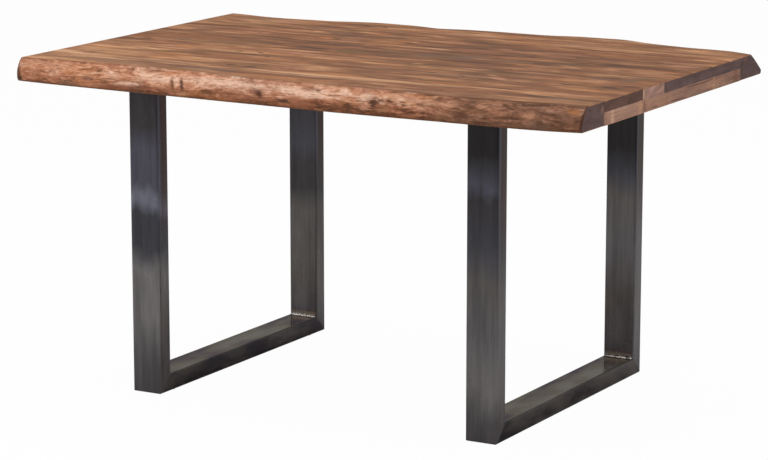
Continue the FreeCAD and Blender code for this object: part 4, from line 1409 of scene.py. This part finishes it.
def post_steel(post, tones, seed, inner_side):
    """Steel whose tone changes up the post. Its welded face looks to inner_side along Y."""
    finish = Finish(post + "_steel")
    low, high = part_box(post)
    _, y, z = finish.parts(finish.place)
    shifted = finish.vector("ADD", finish.place, (seed, seed, seed))
    clouds = finish.noise(shifted, (16, 16, 7), 3.0, 0.55)
    bands = finish.noise(shifted, (60, 60, 4), 2.0)
    hairs = finish.noise(shifted, (420, 420, 8), 2.0, 0.6)
    height = finish.total(z, finish.swing(clouds, 110 * MM), finish.swing(bands, 30 * MM))
    # These tones hold painted shade near the top and painted sky reflections, besides the mill's
    # tones.
    scale = [(up * MM / POST_TOP, tone) for up, tone in tones]
    colour = finish.ramp(finish.math("DIVIDE", height, POST_TOP), stops(scale, STEEL))
    normal = finish.parts(finish.add("NewGeometry", {}).outputs["Normal"])
    # Painted reflections on the upper side faces: pale sky towards the front, dark brown towards the
    # back.
    sideways = finish.fade(finish.math("ABSOLUTE", normal[0]), 0.6, 0.9)
    upper = finish.math("MULTIPLY", finish.fade(height, 330 * MM, 540 * MM), sideways)
    behind = finish.total(finish.share(y, low.y, high.y), finish.swing(bands, 0.5))
    brown_side_reflection = finish.math("MULTIPLY", upper, finish.fade(behind, 0.10, 0.35, 0.35, 0.95))
    sky_side_reflection = finish.math("MULTIPLY", upper, finish.fade(behind, 0.28, 0.10, 0.0, 0.45))
    colour = finish.mix(brown_side_reflection, colour, STEEL["brown"])
    colour = finish.mix(sky_side_reflection, colour, STEEL["sky"])
    colour = finish.shade(colour, finish.fade(clouds, 0.3, 0.7, 0.86, 1.14))
    colour = finish.shade(colour, finish.fade(bands, 0.3, 0.7, 0.84, 1.15))
    away = finish.math("ABSOLUTE", finish.math("SUBTRACT", z, RAIL_TOP))
    inwards = finish.math("MULTIPLY", normal[1], inner_side)
    away = finish.math("ADD", away, finish.fade(inwards, 0.9, 0.6, 0, 1))
    colour = heat_rings(finish, colour, away, 0.4)
    return steel_finish(finish, colour, clouds, hairs, POST_SMOOTHEST, (1, 1, 1, 1))


def flat_steel(name, seed, stretch, hair_stretch):
    """Steel of a rail or a plate, which lies along Y."""
    finish = Finish(name)
    facing_x, _, facing_z = facing(finish)
    shifted = finish.vector("ADD", finish.place, (seed, seed, seed))
    clouds = finish.noise(shifted, stretch, 3.0, 0.55)
    hairs = finish.noise(shifted, hair_stretch, 2.0, 0.6)
    # Painted shade: faces that look along x are made darker than the top.
    side_face_shade = finish.fade(facing_x, 0.6, 0.9, 0.0, 0.18)
    colour = finish.ramp(finish.math("SUBTRACT", clouds, side_face_shade), stops(FLAT_SCALE, STEEL))
    off_middle = finish.math("ABSOLUTE", finish.parts(finish.place)[1])
    away = finish.math("ABSOLUTE", finish.math("SUBTRACT", POST_INSIDE, off_middle))
    away = finish.math("ADD", away, finish.fade(facing_z, 0.9, 0.6, 0, 1))
    colour = heat_rings(finish, colour, away, 0.15)
    grazing = finish.ramp(clouds, GRAZING_SCALE)
    return steel_finish(finish, colour, clouds, hairs, FLAT_SMOOTHEST, grazing)


for number, (place, tones) in enumerate(POST_TONES_AND_PAINTED_LIGHT.items()):
    inner_side = 1.0 if "front" in place else -1.0
    dress(place + "_post", post_steel(place + "_post", tones, 3.7 * number + 1, inner_side))
for number, side in enumerate(("left", "right")):
    for piece, seed in (("floor_rail", 2), ("mounting_plate", 9)):
        steel = flat_steel(f"{side}_{piece}_steel", 11.3 * number + seed, (18, 6, 18), (420, 8, 420))
        dress(f"{side}_{piece}", steel)
print("tubes and plates finished")

# %% [markdown]
# ## Weld beads
# A weld is laid in small pools, each freezing over the one before, so it looks like a row of stacked
# coins. A plain fillet with a bumpy finish would keep a straight outline, so each bead is a mesh
# here: a fan of points round the corner, swept along it, whose radius swells and shrinks with every
# pool. Like the live edges, it stays inside the plain bead of the construction model, so the radius
# and its swell and lumps are shares of the plain bead's leg that come to less than 1 together.

# %% Laying the beads
WELD_LEG = 5 * MM
WELD_PITCH = 2.8 * MM
WELD_STEP = 0.5 * MM
WELD_FAN = 9
WELD_TAPER = 3 * MM
WELD_TIP = 0.2 * MM
BEAD_RADIUS = 0.80
POOL_SWELL = 0.14
POOL_BEND = 0.38
BEAD_LUMPS = 0.05
BEAD_SHARP_EDGE = math.radians(50)
TUBE_CORNER = 4 * MM


def bead_loops(start, along, length, wall_a, wall_b, seed):
    """Loops of points of one bead, which starts at start and fills the corner of two walls."""
    loops = []
    count = round(length / WELD_STEP)
    for i in range(count + 1):
        t = length * i / count
        taper = min(1.0, math.sqrt((min(t, length - t) + WELD_TIP) / WELD_TAPER))
        corner = start + along * t
        loop = [corner]
        for j in range(WELD_FAN):
            turn = math.pi / 2 * j / (WELD_FAN - 1)
            pool = abs(math.sin(math.pi * (t / WELD_PITCH - POOL_BEND * math.sin(2 * turn))))
            lump = noise.noise(Vector((t * 300, turn, seed)))
            share = BEAD_RADIUS + POOL_SWELL * math.sqrt(pool) + BEAD_LUMPS * lump
            radius = WELD_LEG * taper * share
            loop.append(corner + (wall_a * math.cos(turn) + wall_b * math.sin(turn)) * radius)
        loops.append(loop)
    return loops


def frame_beads(side):
    """Where each bead of a frame lies: start, direction, length and the two walls of its corner."""
    x_axis, y_axis, z_axis = Vector((1, 0, 0)), Vector((0, 1, 0)), Vector((0, 0, 1))
    plate_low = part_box(side + "_mounting_plate")[0].z
    beads = []
    for end in ("front", "back"):
        low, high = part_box(f"{side}_{end}_post")
        inner_y = high.y if end == "front" else low.y
        inwards = y_axis if end == "front" else -y_axis
        wide = high.x - low.x - 2 * TUBE_CORNER
        deep = high.y - low.y - 2 * TUBE_CORNER
        left = low.x + TUBE_CORNER
        for z, upwards in ((RAIL_TOP, z_axis), (plate_low, -z_axis)):
            beads.append((Vector((left, inner_y, z)), x_axis, wide, inwards, upwards))
        for x, outwards in ((low.x, -x_axis), (high.x, x_axis)):
            start = Vector((x, low.y + TUBE_CORNER, plate_low))
            beads.append((start, y_axis, deep, outwards, -z_axis))
    return beads


def weld_beads(side):
    """All beads of one frame as one mesh."""
    vertices = []
    faces = []
    for number, (start, along, length, wall_a, wall_b) in enumerate(frame_beads(side)):
        loops = bead_loops(start, along, length, wall_a, wall_b, number * 7.3)
        outwards = along.cross(wall_a).dot(wall_b) < 0
        for face in skin_of_loops(loops, outwards):
            faces.append(tuple(len(vertices) + point for point in face))
        vertices += [point for loop in loops for point in loop]
    piece = new_piece(side + "_weld_beads", vertices, faces, side + "_frame_welds")
    piece.data.shade_smooth()
    piece.data.set_sharp_from_angle(angle=BEAD_SHARP_EDGE)
    print(piece.name, "has", len(vertices), "points")
    return piece


def weld_metal():
    """Bright weld metal with the colours of its own heat."""
    finish = Finish("weld_metal")
    heat = finish.noise(finish.place, (90, 90, 90), 3.0)
    colour = finish.ramp(heat, [
        (0.30, STEEL["blue"]),
        (0.40, STEEL["bright"]),
        (0.56, paint(214, 210, 204)),
        (0.74, STEEL["straw"]),
    ])
    return finish.surface(
        Base_Color=colour,
        Metallic=1.0,
        Roughness=finish.fade(heat, 0.3, 0.7, 0.18, 0.34),
    )


bead_finish = weld_metal()
for side in ("left", "right"):
    weld_beads(side).data.materials.append(bead_finish)

# %% [markdown]
# ## Plated hardware and glides
# Bolts, washers, inserts and screws are zinc plated: a bright metal with a faint bloom. The glides are
# moulded black plastic with the fine grain of a sparked mould.

# %% Hardware finishes
def plated(name):
    """Zinc plate: pale metal with a cloudy sheen."""
    finish = Finish(name)
    bloom = finish.noise(finish.place, (300, 300, 300), 3.0)
    colour = finish.ramp(bloom, [(0.3, paint(150, 148, 140)), (0.7, paint(196, 196, 192))])
    return finish.surface(
        Base_Color=colour,
        Metallic=1.0,
        Roughness=finish.fade(bloom, 0.3, 0.7, 0.28, 0.45),
    )


def moulded_plastic(name):
    """Black plastic with a fine even grain."""
    finish = Finish(name)
    grain = finish.noise(finish.place, (1400, 1400, 1400), 2.0)
    return finish.surface(
        Base_Color=finish.ramp(grain, [(0.3, paint(30, 30, 31)), (0.7, paint(44, 44, 45))]),
        Roughness=0.5,
        Normal=finish.bump(grain, 0.05 * MM, 0.4),
    )


zinc = plated("zinc_plate")
glide_plastic = moulded_plastic("glide_plastic")
for side in ("left", "right"):
    for kind in ("frame_bolts", "frame_washers", "threaded_inserts", "batten_screws"):
        dress(f"{side}_{kind}", zinc)
    dress(f"{side}_rail_glides", glide_plastic)
print("hardware finished")

# %% [markdown]
# ## A plain studio
# The floor is one pale sheet that is white to the camera, and still darkens a little where the table
# keeps light from it. From below it is clear, so that the underside can be looked at too. The lamps
# are large and soft, at a level at which a colour renders about as it is written.

# %% Floor and daylight
FLOOR_HALF = 40.0
FLOOR_GLOW = 0.975
DAYLIGHT = 0.42
BACKDROP = 1.0


def pale_floor():
    """A floor that is nearly white to the camera, keeps a soft shadow, and is clear from below."""
    finish = Finish("studio_floor")
    cloth = finish.add("BsdfDiffuse", {"Color": (0.9, 0.9, 0.9, 1)}).outputs[0]
    glow = finish.add("Emission", {"Color": (1, 1, 1, 1), "Strength": 1.0}).outputs[0]
    seen = finish.add("LightPath", {}).outputs["Is Camera Ray"]
    share = finish.math("MULTIPLY", seen, FLOOR_GLOW)
    mixed = finish.add("MixShader", {0: share, 1: cloth, 2: glow}).outputs[0]
    from_below = finish.add("NewGeometry", {}).outputs["Backfacing"]
    clear = finish.add("BsdfTransparent", {}).outputs[0]
    mixed = finish.add("MixShader", {0: from_below, 1: mixed, 2: clear}).outputs[0]
    finish.add("OutputMaterial", {"Surface": mixed})
    return finish.material


floor_mesh = bpy.data.meshes.new("studio_floor")
corners = [(-1, -1), (1, -1), (1, 1), (-1, 1)]
floor_mesh.from_pydata([(x * FLOOR_HALF, y * FLOOR_HALF, 0) for x, y in corners], [], [(0, 1, 2, 3)])
floor_mesh.materials.append(pale_floor())
floor = bpy.data.objects.new("studio_floor", floor_mesh)
bpy.context.scene.collection.objects.link(floor)
floor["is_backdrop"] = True

world = bpy.data.worlds.new("studio_air")
bpy.context.scene.world = world
world.use_nodes = True
air = world.node_tree
air.nodes.clear()
path = air.nodes.new("ShaderNodeLightPath")
choose = air.nodes.new("ShaderNodeMixShader")
air.links.new(path.outputs["Is Camera Ray"], choose.inputs[0])
for number, strength in ((1, DAYLIGHT), (2, BACKDROP)):
    background = air.nodes.new("ShaderNodeBackground")
    background.inputs["Color"].default_value = (1, 1, 1, 1)
    background.inputs["Strength"].default_value = strength
    air.links.new(background.outputs[0], choose.inputs[number])
sky_output = air.nodes.new("ShaderNodeOutputWorld")
air.links.new(choose.outputs[0], sky_output.inputs["Surface"])
print("daylight strength:", DAYLIGHT)

# %% Soft lamps
Lamp = namedtuple("Lamp", "name place aim width power")
LAMPS = [
    Lamp("overhead_softbox", (-0.4, 0.2, 3.2), (0, 0, 0.7), 2.6, 40),
    Lamp("front_softbox", (-2.6, -3.6, 2.2), (0, 0, 0.6), 2.2, 62),
    Lamp("right_softbox", (4.2, -0.6, 1.9), (0.4, 0, 0.5), 1.8, 34),
]
for lamp in LAMPS:
    light = bpy.data.lights.new(lamp.name, "AREA")
    light.shape = "SQUARE"
    light.size = lamp.width
    light.energy = lamp.power
    holder = bpy.data.objects.new(lamp.name, light)
    holder.location = lamp.place
    direction = Vector(lamp.aim) - Vector(lamp.place)
    holder.rotation_euler = direction.to_track_quat("-Z", "Y").to_euler()
    bpy.context.scene.collection.objects.link(holder)
print("lamps:", [lamp.name for lamp in LAMPS])

# %% [markdown]
# ## The camera
# It stands to the right of the table's front at standing height, and looks down a little. A long lens
# keeps the top's edges nearly parallel.

# %% Camera and colour
CAMERA_PLACE = (3.2596, -5.7518, 1.7095)
TURNED_LEFT = math.radians(29.66)
LOOKS_DOWN = math.radians(11.56)
LENS = 138.6
FILM_WIDTH = 36

camera_data = bpy.data.cameras.new("camera")
camera_data.lens = LENS
camera_data.sensor_width = FILM_WIDTH
camera = bpy.data.objects.new("camera", camera_data)
camera.location = CAMERA_PLACE
camera.rotation_euler = (math.pi / 2 - LOOKS_DOWN, 0, TURNED_LEFT)
bpy.context.scene.collection.objects.link(camera)
bpy.context.scene.camera = camera
bpy.context.scene.view_settings.view_transform = "Standard"
print("camera height", CAMERA_PLACE[2], "m, lens", LENS, "mm")

# %% [markdown]
# ## Last checks
# The dressed table must be as large as the construction model, so the last line prints how many
# millimetres its box and the model's box differ by at most.

# %% Sizes
shown_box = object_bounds()
differences = [abs(a - b) / MM for drawn, shown in zip(drawn_box, shown_box)
               for a, b in zip(drawn, shown)]
print("largest difference in mm:", round(max(differences), 2))
